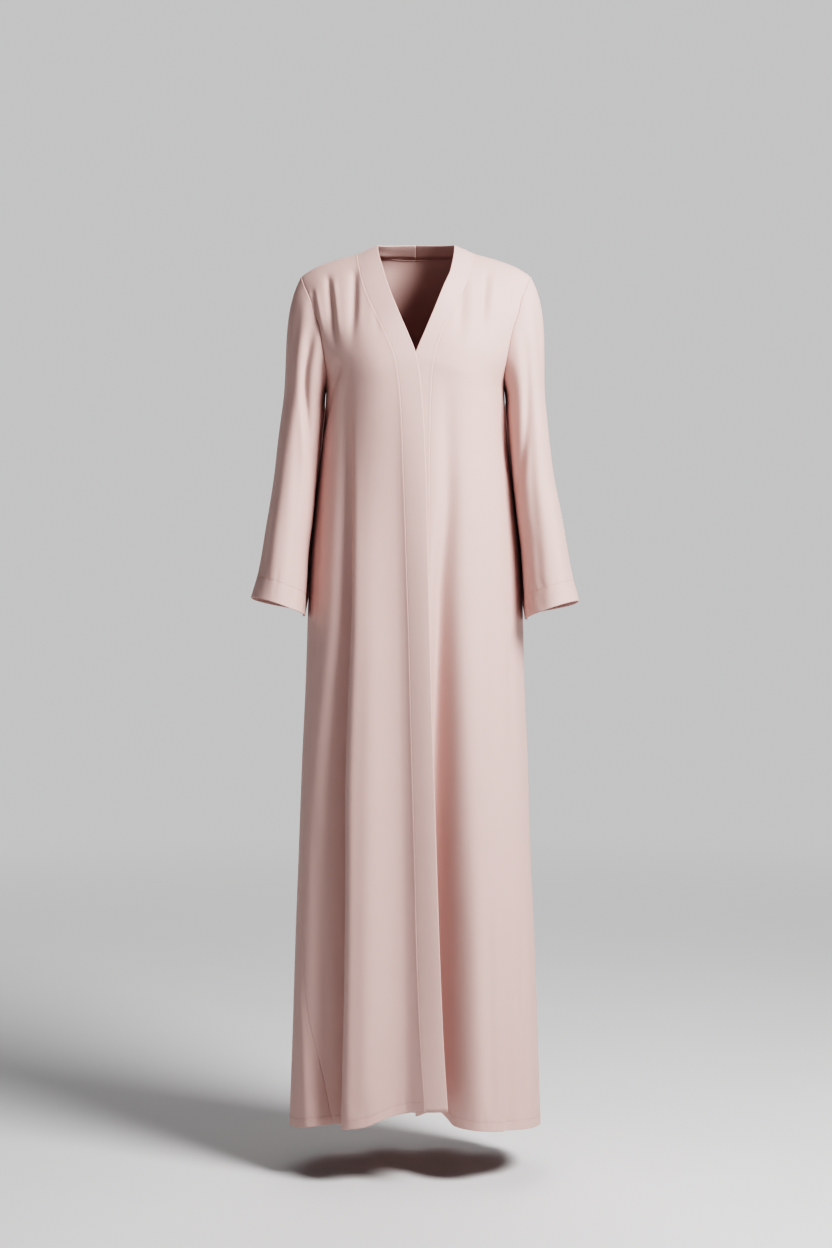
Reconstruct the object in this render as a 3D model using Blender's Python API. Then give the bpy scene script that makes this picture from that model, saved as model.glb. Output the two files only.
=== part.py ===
"""Open-front abaya cloak, worn and hollow: a loose, floor-length A-line cloak in plain crepe.

It is cut and sewn from seven pieces: two fronts, a back, two set-in sleeves, and a band that
edges each front from the hem up and round the back of the neck. The wearer's right front laps
over the left one. Each piece is one closed wall of cloth, lofted through the garment's own
sections, and stands a hair's breadth from its neighbour along each seam.

Frame: metres, +Z up, the front faces -Y and the wearer's left is +X. The origin is the point
between the shoulders at the height where the cloak rests on them.
"""

import math
from collections import namedtuple

import bpy
import numpy as np

# Cloth
PANEL_WALL = 0.0013
BAND_WALL = 0.0020
SEAM_GAP = 0.0003
BAND_WIDTH = 0.0357

# The right front laps over the left one, and lies this far off it at the band
LAP_LIFT = 0.0032
LAP_FULL = 0.022
LAP_FADE = 0.060
LAP_TOP = -0.075
LAP_WHOLE = -0.125

# Level of the underarm, and how far the hem hangs
UNDERARM = -0.205
HEM_AT_SIDE = -1.430
HEM_AT_BACK = -1.443

# How finely the pieces are divided
YOKE_ROWS = 14
SKIRT_ROWS = 20
FRONT_COLUMNS = 20
SHOULDER_COLUMNS = 7
NECK_COLUMNS = 14
BAND_COLUMNS = 2
BAND_TURN_ROWS = 3.0
BAND_SETTLE = 1.25
CAP_ROWS = 6
ARM_ROWS = 11
YOKE_CROWDING = 1.9
SHOULDER_ROWS = 5.0

# Steps for reading slopes and following edges, and the mean radius of a sleeve
PROBE = 0.002
ARMHOLE_STEPS = 400
HEM_TRIES = 8
ARM_RADIUS = 0.055

# Garment sections from the neck down: half widths on the wearer's right and left, how far back
# the widest place lies, depth to the front and to the back, and how square each face is
Section = namedtuple("Section", "height right left middle front back front_power back_power")
SECTIONS = (
    Section(0.046, 0.1920, 0.1920, 0.000, 0.126, 0.108, 0.75, 0.62),
    Section(-0.030, 0.1920, 0.1920, 0.000, 0.126, 0.108, 0.75, 0.62),
    Section(-0.080, 0.1880, 0.1880, 0.000, 0.126, 0.108, 0.75, 0.62),
    Section(-0.110, 0.1780, 0.1780, 0.002, 0.126, 0.108, 0.75, 0.62),
    Section(-0.147, 0.1650, 0.1650, 0.005, 0.126, 0.108, 0.75, 0.62),
    Section(-0.205, 0.1480, 0.1455, 0.012, 0.126, 0.108, 0.80, 0.68),
    Section(-0.306, 0.1570, 0.1525, 0.030, 0.128, 0.112, 0.82, 0.75),
    Section(-0.388, 0.1660, 0.1625, 0.034, 0.130, 0.117, 0.84, 0.80),
    Section(-0.471, 0.1735, 0.1710, 0.032, 0.133, 0.122, 0.85, 0.84),
    Section(-0.553, 0.1785, 0.1765, 0.028, 0.136, 0.128, 0.86, 0.86),
    Section(-0.692, 0.1832, 0.1801, 0.022, 0.141, 0.137, 0.88, 0.88),
    Section(-0.814, 0.1890, 0.1855, 0.017, 0.146, 0.145, 0.90, 0.90),
    Section(-0.953, 0.1942, 0.1899, 0.012, 0.152, 0.154, 0.90, 0.90),
    Section(-1.137, 0.2012, 0.1980, 0.006, 0.158, 0.165, 0.90, 0.90),
    Section(-1.280, 0.2057, 0.2027, 0.003, 0.163, 0.173, 0.90, 0.90),
    Section(-1.445, 0.2119, 0.2086, 0.000, 0.168, 0.181, 0.90, 0.90),
)

# The shoulder line, from the middle of the neck out to the sleeve
Shoulder = namedtuple("Shoulder", "out height")
SHOULDER_LINE = (
    Shoulder(0.000, 0.0460),
    Shoulder(0.030, 0.0410),
    Shoulder(0.062, 0.0300),
    Shoulder(0.078, 0.0235),
    Shoulder(0.096, 0.0155),
    Shoulder(0.124, 0.0078),
    Shoulder(0.141, 0.0025),
    Shoulder(0.162, -0.0055),
    Shoulder(0.178, -0.0145),
    Shoulder(0.188, -0.0220),
    Shoulder(0.200, -0.0340),
)

# How the cloth rounds over the shoulder: the share of the full depth reached at each drop
Rounding = namedtuple("Rounding", "drop front back")
SHOULDER_ROUNDING = (
    Rounding(0.000, 0.00, 0.00),
    Rounding(0.003, 0.135, 0.20),
    Rounding(0.010, 0.245, 0.36),
    Rounding(0.020, 0.345, 0.50),
    Rounding(0.040, 0.49, 0.69),
    Rounding(0.070, 0.65, 0.83),
    Rounding(0.110, 0.81, 0.93),
    Rounding(0.160, 0.93, 0.99),
    Rounding(0.205, 1.00, 1.00),
)

# The armhole, as degrees round the section from the middle of the front
Armhole = namedtuple("Armhole", "height angle")
ARMHOLE_FRONT = (
    Armhole(-0.022, 78.3),
    Armhole(-0.040, 71.0),
    Armhole(-0.063, 64.6),
    Armhole(-0.105, 62.5),
    Armhole(-0.147, 65.5),
    Armhole(-0.175, 71.5),
    Armhole(-0.195, 80.0),
    Armhole(-0.205, 92.0),
)
ARMHOLE_BACK = (
    Armhole(-0.022, 101.7),
    Armhole(-0.045, 107.0),
    Armhole(-0.080, 113.8),
    Armhole(-0.115, 115.0),
    Armhole(-0.150, 112.0),
    Armhole(-0.180, 106.0),
    Armhole(-0.198, 99.0),
    Armhole(-0.205, 92.0),
)

# The side seams, as degrees round the section: they swing forward towards the hem
SideSeam = namedtuple("SideSeam", "height right left")
SIDE_SEAM = (
    SideSeam(-0.205, 92.0, 92.0),
    SideSeam(-0.450, 88.0, 88.0),
    SideSeam(-0.700, 80.0, 83.0),
    SideSeam(-0.900, 73.0, 76.0),
    SideSeam(-1.010, 71.5, 72.5),
    SideSeam(-1.124, 69.0, 67.5),
    SideSeam(-1.207, 66.0, 65.0),
    SideSeam(-1.290, 60.5, 62.3),
    SideSeam(-1.370, 56.5, 60.5),
    SideSeam(-1.445, 52.5, 58.5),
)

# Where each band is sewn to its front, measured across from the middle
BandSeam = namedtuple("BandSeam", "height right left")
BAND_SEAM = (
    BandSeam(0.0155, -0.0960, 0.0960),
    BandSeam(-0.014, -0.0912, 0.0893),
    BandSeam(-0.049, -0.0808, 0.0778),
    BandSeam(-0.073, -0.0709, 0.0659),
    BandSeam(-0.105, -0.0546, 0.0487),
    BandSeam(-0.128, -0.0435, 0.0389),
    BandSeam(-0.154, -0.0338, 0.0312),
    BandSeam(-0.177, -0.0289, 0.0274),
    BandSeam(-0.206, -0.0257, 0.0254),
    BandSeam(-0.258, -0.0225, 0.0237),
    BandSeam(-0.332, -0.0203, 0.0223),
    BandSeam(-0.422, -0.0172, 0.0220),
    BandSeam(-0.515, -0.0145, 0.0214),
    BandSeam(-0.611, -0.0112, 0.0208),
    BandSeam(-0.707, -0.0090, 0.0205),
    BandSeam(-0.868, -0.0046, 0.0212),
    BandSeam(-0.990, -0.0012, 0.0228),
    BandSeam(-1.108, 0.0018, 0.0248),
    BandSeam(-1.218, 0.0060, 0.0280),
    BandSeam(-1.321, 0.0124, 0.0325),
    BandSeam(-1.445, 0.0205, 0.0380),
)

# The free edge of each band: the right one is the edge of the lap, and the left one runs under it
# from the point of the V down
BandEdge = namedtuple("BandEdge", "height right left")
BAND_EDGE = (
    BandEdge(0.0300, -0.0620, 0.0620),
    BandEdge(0.0270, -0.0620, 0.0622),
    BandEdge(-0.0120, -0.0532, 0.0560),
    BandEdge(-0.0395, -0.0448, 0.0445),
    BandEdge(-0.0833, -0.0274, 0.0268),
    BandEdge(-0.1190, -0.0120, 0.0117),
    BandEdge(-0.1473, -0.0010, -0.0003),
    BandEdge(-0.1656, 0.0030, -0.0060),
    BandEdge(-0.1928, 0.0072, -0.0095),
    BandEdge(-0.2200, 0.0098, -0.0112),
    BandEdge(-0.2647, 0.0132, -0.0122),
    BandEdge(-0.3544, 0.0168, -0.0135),
    BandEdge(-0.4827, 0.0196, -0.0141),
    BandEdge(-0.6111, 0.0228, -0.0149),
    BandEdge(-0.7075, 0.0252, -0.0152),
    BandEdge(-0.8683, 0.0307, -0.0146),
    BandEdge(-0.9906, 0.0346, -0.0130),
    BandEdge(-1.1084, 0.0384, -0.0109),
    BandEdge(-1.2555, 0.0445, -0.0062),
    BandEdge(-1.3300, 0.0490, -0.0026),
    BandEdge(-1.4450, 0.0565, 0.0023),
)

# The back of the neck: the band's seam and its free edge
Neck = namedtuple("Neck", "out height")
NECK_SEAM = (
    Neck(0.000, 0.0100),
    Neck(0.030, 0.0110),
    Neck(0.060, 0.0135),
    Neck(0.080, 0.0162),
    Neck(0.096, 0.0155),
)
NECK_EDGE = (
    Neck(0.000, 0.0330),
    Neck(0.020, 0.0325),
    Neck(0.040, 0.0315),
    Neck(0.055, 0.0305),
    Neck(0.062, 0.0300),
)

# The hem of the fronts, by how far across it lies
Hem = namedtuple("Hem", "across height")
HEM_RIGHT = (
    Hem(-0.172, -1.4103),
    Hem(-0.150, -1.4130),
    Hem(-0.128, -1.4085),
    Hem(-0.104, -1.4043),
    Hem(-0.081, -1.3995),
    Hem(-0.064, -1.3920),
    Hem(-0.046, -1.3850),
    Hem(-0.025, -1.3805),
    Hem(0.003, -1.3752),
    Hem(0.030, -1.3730),
    Hem(0.056, -1.3713),
)
HEM_LEFT = (
    Hem(-0.005, -1.3760),
    Hem(0.042, -1.3830),
    Hem(0.054, -1.3868),
    Hem(0.063, -1.3940),
    Hem(0.074, -1.4055),
    Hem(0.093, -1.4080),
    Hem(0.118, -1.4100),
    Hem(0.136, -1.4120),
    Hem(0.165, -1.4146),
    Hem(0.180, -1.4165),
)

# The large folds: a valley that runs down the cloth. centre is how far across it lies and crest
# the ridge beside it, depth how deep it is, inner and outer how wide its flanks are, and lean how
# far its floor slides under the crest
Fold = namedtuple("Fold", "height centre crest depth inner outer lean")
FOLD_RIGHT_MAIN = (
    Fold(-0.150, -0.113, -0.088, 0.0000, 0.014, 0.018, 0.000),
    Fold(-0.355, -0.112, -0.086, 0.0110, 0.011, 0.017, 0.000),
    Fold(-0.550, -0.117, -0.093, 0.0200, 0.012, 0.018, 0.000),
    Fold(-0.710, -0.126, -0.102, 0.0280, 0.014, 0.019, 0.000),
    Fold(-0.856, -0.136, -0.106, 0.0350, 0.018, 0.020, 0.000),
    Fold(-1.034, -0.142, -0.108, 0.0400, 0.021, 0.021, 0.000),
    Fold(-1.255, -0.149, -0.112, 0.0430, 0.023, 0.022, 0.001),
    Fold(-1.445, -0.155, -0.117, 0.0440, 0.024, 0.022, 0.002),
)
FOLD_RIGHT_CENTRE = (
    Fold(-0.180, -0.040, -0.020, 0.0000, 0.024, 0.028, 0.000),
    Fold(-0.420, -0.030, -0.010, 0.0060, 0.026, 0.030, 0.000),
    Fold(-0.850, -0.024, -0.002, 0.0110, 0.028, 0.034, 0.000),
    Fold(-1.445, -0.018, 0.010, 0.0160, 0.030, 0.038, 0.000),
)
FOLD_LEFT_MAIN = (
    Fold(-0.180, 0.050, 0.092, 0.0000, 0.014, 0.018, 0.000),
    Fold(-0.370, 0.053, 0.094, 0.0100, 0.014, 0.016, 0.000),
    Fold(-0.550, 0.050, 0.092, 0.0190, 0.015, 0.019, 0.000),
    Fold(-0.700, 0.045, 0.090, 0.0270, 0.016, 0.025, 0.000),
    Fold(-0.850, 0.040, 0.088, 0.0340, 0.017, 0.031, 0.000),
    Fold(-1.000, 0.036, 0.088, 0.0400, 0.018, 0.036, 0.000),
    Fold(-1.200, 0.034, 0.090, 0.0440, 0.018, 0.040, 0.000),
    Fold(-1.445, 0.034, 0.094, 0.0460, 0.018, 0.042, 0.000),
)
FOLD_LEFT_SIDE = (
    Fold(-0.850, 0.142, 0.124, 0.0000, 0.010, 0.022, 0.000),
    Fold(-1.086, 0.143, 0.127, 0.0035, 0.009, 0.022, 0.000),
    Fold(-1.281, 0.147, 0.132, 0.0055, 0.009, 0.022, 0.001),
    Fold(-1.445, 0.154, 0.140, 0.0070, 0.009, 0.022, 0.001),
)
FOLD_BACK_RIGHT = (
    Fold(-0.230, -0.074, -0.046, 0.0000, 0.018, 0.018, 0.000),
    Fold(-0.500, -0.080, -0.050, 0.0080, 0.018, 0.020, 0.000),
    Fold(-0.850, -0.090, -0.058, 0.0170, 0.018, 0.022, 0.000),
    Fold(-1.445, -0.108, -0.072, 0.0310, 0.021, 0.026, 0.000),
)
FOLD_BACK_MIDDLE = (
    Fold(-0.150, -0.008, 0.020, 0.0000, 0.020, 0.020, 0.000),
    Fold(-0.420, -0.009, 0.024, 0.0070, 0.020, 0.022, 0.000),
    Fold(-0.800, -0.009, 0.028, 0.0160, 0.020, 0.022, 0.000),
    Fold(-1.445, -0.004, 0.036, 0.0290, 0.022, 0.026, 0.000),
)
FOLD_BACK_LEFT = (
    Fold(-0.200, 0.064, 0.038, 0.0000, 0.018, 0.018, 0.000),
    Fold(-0.480, 0.070, 0.042, 0.0070, 0.018, 0.020, 0.000),
    Fold(-0.800, 0.079, 0.048, 0.0150, 0.018, 0.020, 0.000),
    Fold(-1.445, 0.096, 0.060, 0.0280, 0.021, 0.024, 0.000),
)
FOLD_BACK_OUTER = (
    Fold(-0.500, 0.134, 0.108, 0.0000, 0.016, 0.016, 0.000),
    Fold(-0.900, 0.146, 0.116, 0.0070, 0.018, 0.018, 0.000),
    Fold(-1.445, 0.168, 0.136, 0.0150, 0.020, 0.020, 0.000),
)
FOLDS = {
    "front_right": (FOLD_RIGHT_MAIN, FOLD_RIGHT_CENTRE),
    "front_left": (FOLD_LEFT_MAIN, FOLD_LEFT_SIDE),
    "back": (FOLD_BACK_RIGHT, FOLD_BACK_MIDDLE, FOLD_BACK_LEFT, FOLD_BACK_OUTER),
}

# Columns of points that follow the folds, from the band or the right side seam outwards: which
# fold, which of its lines, and the column that runs down it
Guide = namedtuple("Guide", "fold line column")
GUIDES = {
    "front_right": (Guide(0, "crest", 10), Guide(0, "centre", 14)),
    "front_left": (
        Guide(0, "crest", 8),
        Guide(1, "crest", 14),
        Guide(1, "centre", 16),
    ),
    "back": (
        Guide(0, "centre", 8),
        Guide(1, "centre", 14),
        Guide(2, "centre", 20),
        Guide(3, "centre", 24),
    ),
}

# Short folds that fall from the shoulders and end at the bust, straight from top to low end
Tuck = namedtuple("Tuck", "top_across top_height low_across low_height depth width")
TUCKS = {
    "front_right": (
        Tuck(-0.146, -0.010, -0.131, -0.150, 0.0050, 0.009),
        Tuck(-0.101, 0.000, -0.103, -0.150, 0.0032, 0.010),
    ),
    "front_left": (
        Tuck(0.077, -0.010, 0.071, -0.140, 0.0022, 0.010),
        Tuck(0.118, -0.005, 0.108, -0.135, 0.0026, 0.010),
    ),
    "back": (
        Tuck(-0.095, -0.010, -0.088, -0.170, 0.0030, 0.012),
        Tuck(0.105, -0.010, 0.092, -0.160, 0.0028, 0.012),
    ),
}

# The bust of a general figure: how far out, how high, how proud and how wide
BUST_ACROSS = 0.088
BUST_HEIGHT = -0.148
BUST_PROUD = 0.008
BUST_WIDTH = 0.048
BUST_RISE = 0.045
BUST_FALL = 0.110

# Sleeve sections from the upper arm to the cuff, for the wearer's right and left arm: how far out
# and back the middle lies, half its width and depth, its tilt outwards and forwards, and how far
# its back reaches behind and tucks in behind the body
Arm = namedtuple("Arm", "height out back half_width half_depth tilt_out tilt_front behind tuck")
ARM_RIGHT = (
    Arm(-0.2400, 0.1852, 0.004, 0.0352, 0.0690, 15.0, 0.0, 0.024, 0.030),
    Arm(-0.3000, 0.1925, -0.004, 0.0358, 0.0680, 16.0, 1.0, 0.030, 0.040),
    Arm(-0.3550, 0.1983, -0.010, 0.0360, 0.0670, 17.0, 2.0, 0.034, 0.043),
    Arm(-0.4100, 0.2050, -0.016, 0.0374, 0.0670, 17.0, 3.5, 0.035, 0.043),
    Arm(-0.4540, 0.2116, -0.021, 0.0382, 0.0670, 17.5, 5.0, 0.033, 0.042),
    Arm(-0.5135, 0.2183, -0.028, 0.0414, 0.0680, 18.0, 6.5, 0.026, 0.038),
    Arm(-0.5627, 0.2262, -0.036, 0.0469, 0.0690, 18.0, 7.6, 0.018, 0.034),
)
ARM_LEFT = (
    Arm(-0.2400, 0.1812, 0.004, 0.0336, 0.0690, 15.0, 0.0, 0.024, 0.030),
    Arm(-0.3000, 0.1870, -0.004, 0.0338, 0.0680, 16.0, 1.0, 0.030, 0.039),
    Arm(-0.3550, 0.1930, -0.010, 0.0347, 0.0670, 17.0, 2.0, 0.034, 0.042),
    Arm(-0.4100, 0.2012, -0.016, 0.0371, 0.0670, 17.0, 3.5, 0.035, 0.043),
    Arm(-0.4540, 0.2082, -0.021, 0.0382, 0.0670, 17.5, 5.0, 0.033, 0.042),
    Arm(-0.5135, 0.2152, -0.028, 0.0414, 0.0680, 18.0, 6.5, 0.026, 0.038),
    Arm(-0.5687, 0.2231, -0.036, 0.0470, 0.0690, 18.0, 7.6, 0.018, 0.034),
)

# How the sleeve leaves the armhole, at points round it from the shoulder over the front: the
# direction out, forward and down, and how far that direction carries
Cap = namedtuple("Cap", "turn out forward down reach")
SLEEVE_CAP = (
    Cap(0.0, 0.50, 0.00, 0.85, 0.200),
    Cap(45.0, 0.62, 0.28, 0.75, 0.150),
    Cap(90.0, 0.62, 0.30, 0.75, 0.110),
    Cap(135.0, 0.45, 0.20, 0.85, 0.075),
    Cap(180.0, 0.25, 0.00, 0.95, 0.045),
    Cap(225.0, 0.45, -0.20, 0.85, 0.075),
    Cap(270.0, 0.62, -0.30, 0.75, 0.110),
    Cap(315.0, 0.62, -0.28, 0.75, 0.150),
    Cap(360.0, 0.50, 0.00, 0.85, 0.200),
)

# Folds of the sleeves: a valley, or a ridge where the depth is negative, by degrees round the arm
Crease = namedtuple("Crease", "height turn depth width")
SLEEVE_VALLEY_RIGHT = (
    Crease(-0.040, 52.0, 0.0000, 0.011),
    Crease(-0.115, 74.0, 0.0080, 0.011),
    Crease(-0.205, 90.0, 0.0095, 0.011),
    Crease(-0.270, 112.0, 0.0080, 0.011),
    Crease(-0.345, 150.0, 0.0000, 0.011),
)
SLEEVE_RIDGE_RIGHT = (
    Crease(-0.050, 90.0, 0.0000, 0.012),
    Crease(-0.130, 112.0, -0.0040, 0.012),
    Crease(-0.210, 126.0, -0.0045, 0.012),
    Crease(-0.290, 150.0, 0.0000, 0.012),
)
SLEEVE_VALLEY_LEFT = (
    Crease(-0.060, 58.0, 0.0000, 0.012),
    Crease(-0.150, 76.0, 0.0045, 0.012),
    Crease(-0.260, 96.0, 0.0060, 0.012),
    Crease(-0.330, 122.0, 0.0050, 0.012),
    Crease(-0.395, 160.0, 0.0000, 0.012),
)
SLEEVE_VALLEY_BACK = (
    Crease(-0.130, 262.0, 0.0000, 0.014),
    Crease(-0.290, 248.0, 0.0060, 0.014),
    Crease(-0.430, 238.0, 0.0000, 0.014),
)
SLEEVE_FOLDS = {
    "sleeve_right": (SLEEVE_VALLEY_RIGHT, SLEEVE_RIDGE_RIGHT, SLEEVE_VALLEY_BACK),
    "sleeve_left": (SLEEVE_VALLEY_LEFT, SLEEVE_VALLEY_BACK),
}

# Finish of the crepe: the doubled band is a touch lighter than the panels
PANEL_COLOUR = (0.560, 0.385, 0.355, 1.0)
BAND_COLOUR = (0.585, 0.405, 0.375, 1.0)
CREPE_ROUGHNESS = 0.82


class Line:
    """A smooth line through one named column of a table, read along another column."""

    def __init__(self, rows, along, column):
        points = sorted((getattr(row, along), getattr(row, column)) for row in rows)
        self.places = np.array([point[0] for point in points])
        self.values = np.array([point[1] for point in points])
        steps = np.diff(self.places)
        slopes = np.diff(self.values) / steps
        self.tangents = np.zeros(len(points))
        self.tangents[0] = slopes[0]
        self.tangents[-1] = slopes[-1]
        for i in range(1, len(points) - 1):
            if slopes[i - 1] * slopes[i] > 0.0:
                before = 2.0 * steps[i] + steps[i - 1]
                after = steps[i] + 2.0 * steps[i - 1]
                self.tangents[i] = (before + after) / (before / slopes[i - 1] + after / slopes[i])

    def __call__(self, place):
        place = min(max(place, self.places[0]), self.places[-1])
        i = int(np.searchsorted(self.places, place, side="right")) - 1
        i = min(max(i, 0), len(self.places) - 2)
        step = self.places[i + 1] - self.places[i]
        t = (place - self.places[i]) / step
        start = (1.0 + 2.0 * t) * (1.0 - t) ** 2 * self.values[i]
        start += t * (1.0 - t) ** 2 * step * self.tangents[i]
        end = t * t * (3.0 - 2.0 * t) * self.values[i + 1]
        end += t * t * (t - 1.0) * step * self.tangents[i + 1]
        return float(start + end)


def lines(rows, along):
    """Every other column of a table as a Line, by its name."""
    return {name: Line(rows, along, name) for name in rows[0]._fields if name != along}


SECTION = lines(SECTIONS, "height")
SHOULDER = Line(SHOULDER_LINE, "out", "height")
ROUNDING = lines([row._replace(drop=math.sqrt(row.drop)) for row in SHOULDER_ROUNDING], "drop")
SIDE = lines(SIDE_SEAM, "height")
SEAM = lines(BAND_SEAM, "height")
EDGE = lines(BAND_EDGE, "height")
FOLD_LINES = {piece: [lines(fold, "height") for fold in folds] for piece, folds in FOLDS.items()}
CREASE_LINES = {
    piece: [lines(fold, "height") for fold in folds] for piece, folds in SLEEVE_FOLDS.items()
}


def mix(a, b, t):
    return a + (b - a) * t


def ease(t):
    """Smooth step from 0 to 1."""
    t = min(max(t, 0.0), 1.0)
    return t * t * (3.0 - 2.0 * t)


def side_name(angle):
    return "left" if angle > 0.0 else "right"


def section_depth(across, height, to_front):
    """How deep the section is from its widest place, rounded over the shoulder."""
    face = "front" if to_front else "back"
    drop = max(SHOULDER(abs(across)) - height, 0.0)
    middle = SECTION["middle"](height)
    return SECTION[face](height) * ROUNDING[face](math.sqrt(drop)) + (middle if to_front else -middle)


def torso(angle, height):
    """A point of the plain garment form, at an angle in degrees from the middle of the front."""
    turn = math.radians(angle)
    across = SECTION[side_name(angle)](height) * math.sin(turn)
    to_front = math.cos(turn) >= 0.0
    power = SECTION["front_power" if to_front else "back_power"](height)
    depth = section_depth(across, height, to_front) * abs(math.cos(turn)) ** power
    middle = SECTION["middle"](height)
    return np.array([across, middle - depth if to_front else middle + depth, height])


def outward(angle, height):
    """The level direction out of the section."""
    turn = math.radians(angle)
    half = SECTION[side_name(angle)](height)
    deep = SECTION["front" if math.cos(turn) >= 0.0 else "back"](height)
    normal = np.array([math.sin(turn) / half, -math.cos(turn) / deep, 0.0])
    return normal / np.linalg.norm(normal)


def angle_at(across, height, piece):
    """The angle at which a piece lies this far across."""
    half = SECTION["left" if across > 0.0 else "right"](height)
    turn = math.degrees(math.asin(min(max(across / half, -1.0), 1.0)))
    return 180.0 - turn if piece == "back" else turn


def fold_shift(piece, angle, height):
    """How far the folds move a point inwards and sideways."""
    sink = 0.0
    slide = 0.0
    half = SECTION[side_name(angle)](height)
    for fold in FOLD_LINES[piece]:
        depth = fold["depth"](height)
        centre = fold["centre"](height)
        apart = (angle - angle_at(centre, height, piece) + 180.0) % 360.0 - 180.0
        away = math.radians(-apart if piece == "back" else apart) * half
        inner = away * centre < 0.0
        width = fold["inner" if inner else "outer"](height)
        share = math.exp(-((away / width) ** 2))
        sink += depth * share
        slide -= math.copysign(fold["lean"](height) * share, centre)
    for tuck in TUCKS[piece]:
        run = (tuck.top_height - height) / (tuck.top_height - tuck.low_height)
        if 0.0 < run < 1.0:
            centre = mix(tuck.top_across, tuck.low_across, run)
            across = half * math.sin(math.radians(angle))
            share = math.exp(-(((across - centre) / tuck.width) ** 2))
            sink += tuck.depth * share * math.sin(math.pi * run)
    return sink, slide


def bust(across, height):
    """How far the bust of a general figure carries the cloth forward."""
    reach = BUST_RISE if height > BUST_HEIGHT else BUST_FALL
    share = math.exp(-(((abs(across) - BUST_ACROSS) / BUST_WIDTH) ** 2))
    return BUST_PROUD * share * math.exp(-(((height - BUST_HEIGHT) / reach) ** 2))


def seam_fade(angle, height):
    """Folds die away at the armhole and the shoulder seam, and stay whole in the skirt."""
    if height < UNDERARM:
        return 1.0
    across = abs(torso(angle, height)[0])
    drop = SHOULDER(across) - height
    return ease(drop / 0.03)


def cloth(piece, angle, height, lift=0.0):
    """A point of the worn cloth: the plain form with its folds, the bust, and the lap's lift."""
    point = torso(angle, height)
    normal = outward(angle, height)
    tangent = np.array([-normal[1], normal[0], 0.0])
    if piece == "back":
        tangent = -tangent
    sink, slide = fold_shift(piece, angle, height)
    fade = seam_fade(angle, height)
    point += normal * (lift - sink * fade) + tangent * slide * fade
    if piece != "back":
        point[1] -= bust(point[0], height) * fade
    return point


def lap_lift(height, from_seam):
    """How far the right front stands off the left one, at a distance past the band's seam."""
    down = ease((LAP_TOP - height) / (LAP_TOP - LAP_WHOLE))
    return LAP_LIFT * down * (1.0 - ease((from_seam - LAP_FULL) / LAP_FADE))


def armhole(rows, side):
    """Angles and heights of the armhole, evenly spaced from the shoulder to the underarm."""
    angle = Line(rows, "height", "angle")
    heights = np.linspace(rows[0].height, rows[-1].height, ARMHOLE_STEPS)
    angles = [angle(height) * side for height in heights]
    points = np.array([torso(a, h) for a, h in zip(angles, heights)])
    travelled = np.concatenate([[0.0], np.cumsum(np.linalg.norm(np.diff(points, axis=0), axis=1))])
    even = np.linspace(0.0, travelled[-1], YOKE_ROWS + 1)
    even_angles = np.interp(even, travelled, angles)
    even_heights = np.interp(even, travelled, heights)
    return list(zip(even_angles.tolist(), even_heights.tolist()))


def front_hem(piece, across):
    rows = HEM_RIGHT if piece == "front_right" else HEM_LEFT
    return Line(rows, "across", "height")(across)


def seam_end(piece):
    """Height of the hem where the band is sewn on, found by following the seam down."""
    side = "right" if piece == "front_right" else "left"
    height = HEM_AT_SIDE
    for _ in range(HEM_TRIES):
        height = front_hem(piece, SEAM[side](height))
    return height


def side_end(piece):
    """Angle and height of the side seam at the hem of a front."""
    side = "right" if piece == "front_right" else "left"
    sign = -1.0 if side == "right" else 1.0
    height = HEM_AT_SIDE
    for _ in range(HEM_TRIES):
        height = front_hem(piece, torso(sign * SIDE[side](height), height)[0])
    return sign * SIDE[side](height), height


def column_turns(piece, columns, start, end, height):
    """Angles of the columns at one height, from start to end, with some of them on the folds."""
    level = min(height, UNDERARM)
    half = 0.5 * (SECTION["right"](level) + SECTION["left"](level))
    marks = [0]
    turns = [start[1]]
    for guide in GUIDES[piece]:
        across = FOLD_LINES[piece][guide.fold][guide.line](level)
        turns.append(math.degrees(math.asin(across / half)))
        marks.append(guide.column)
    turns.append(end[1])
    marks.append(columns)
    share = (np.interp(range(columns + 1), marks, turns) - start[1]) / (end[1] - start[1])
    return mix(start[0], end[0], share)


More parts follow.
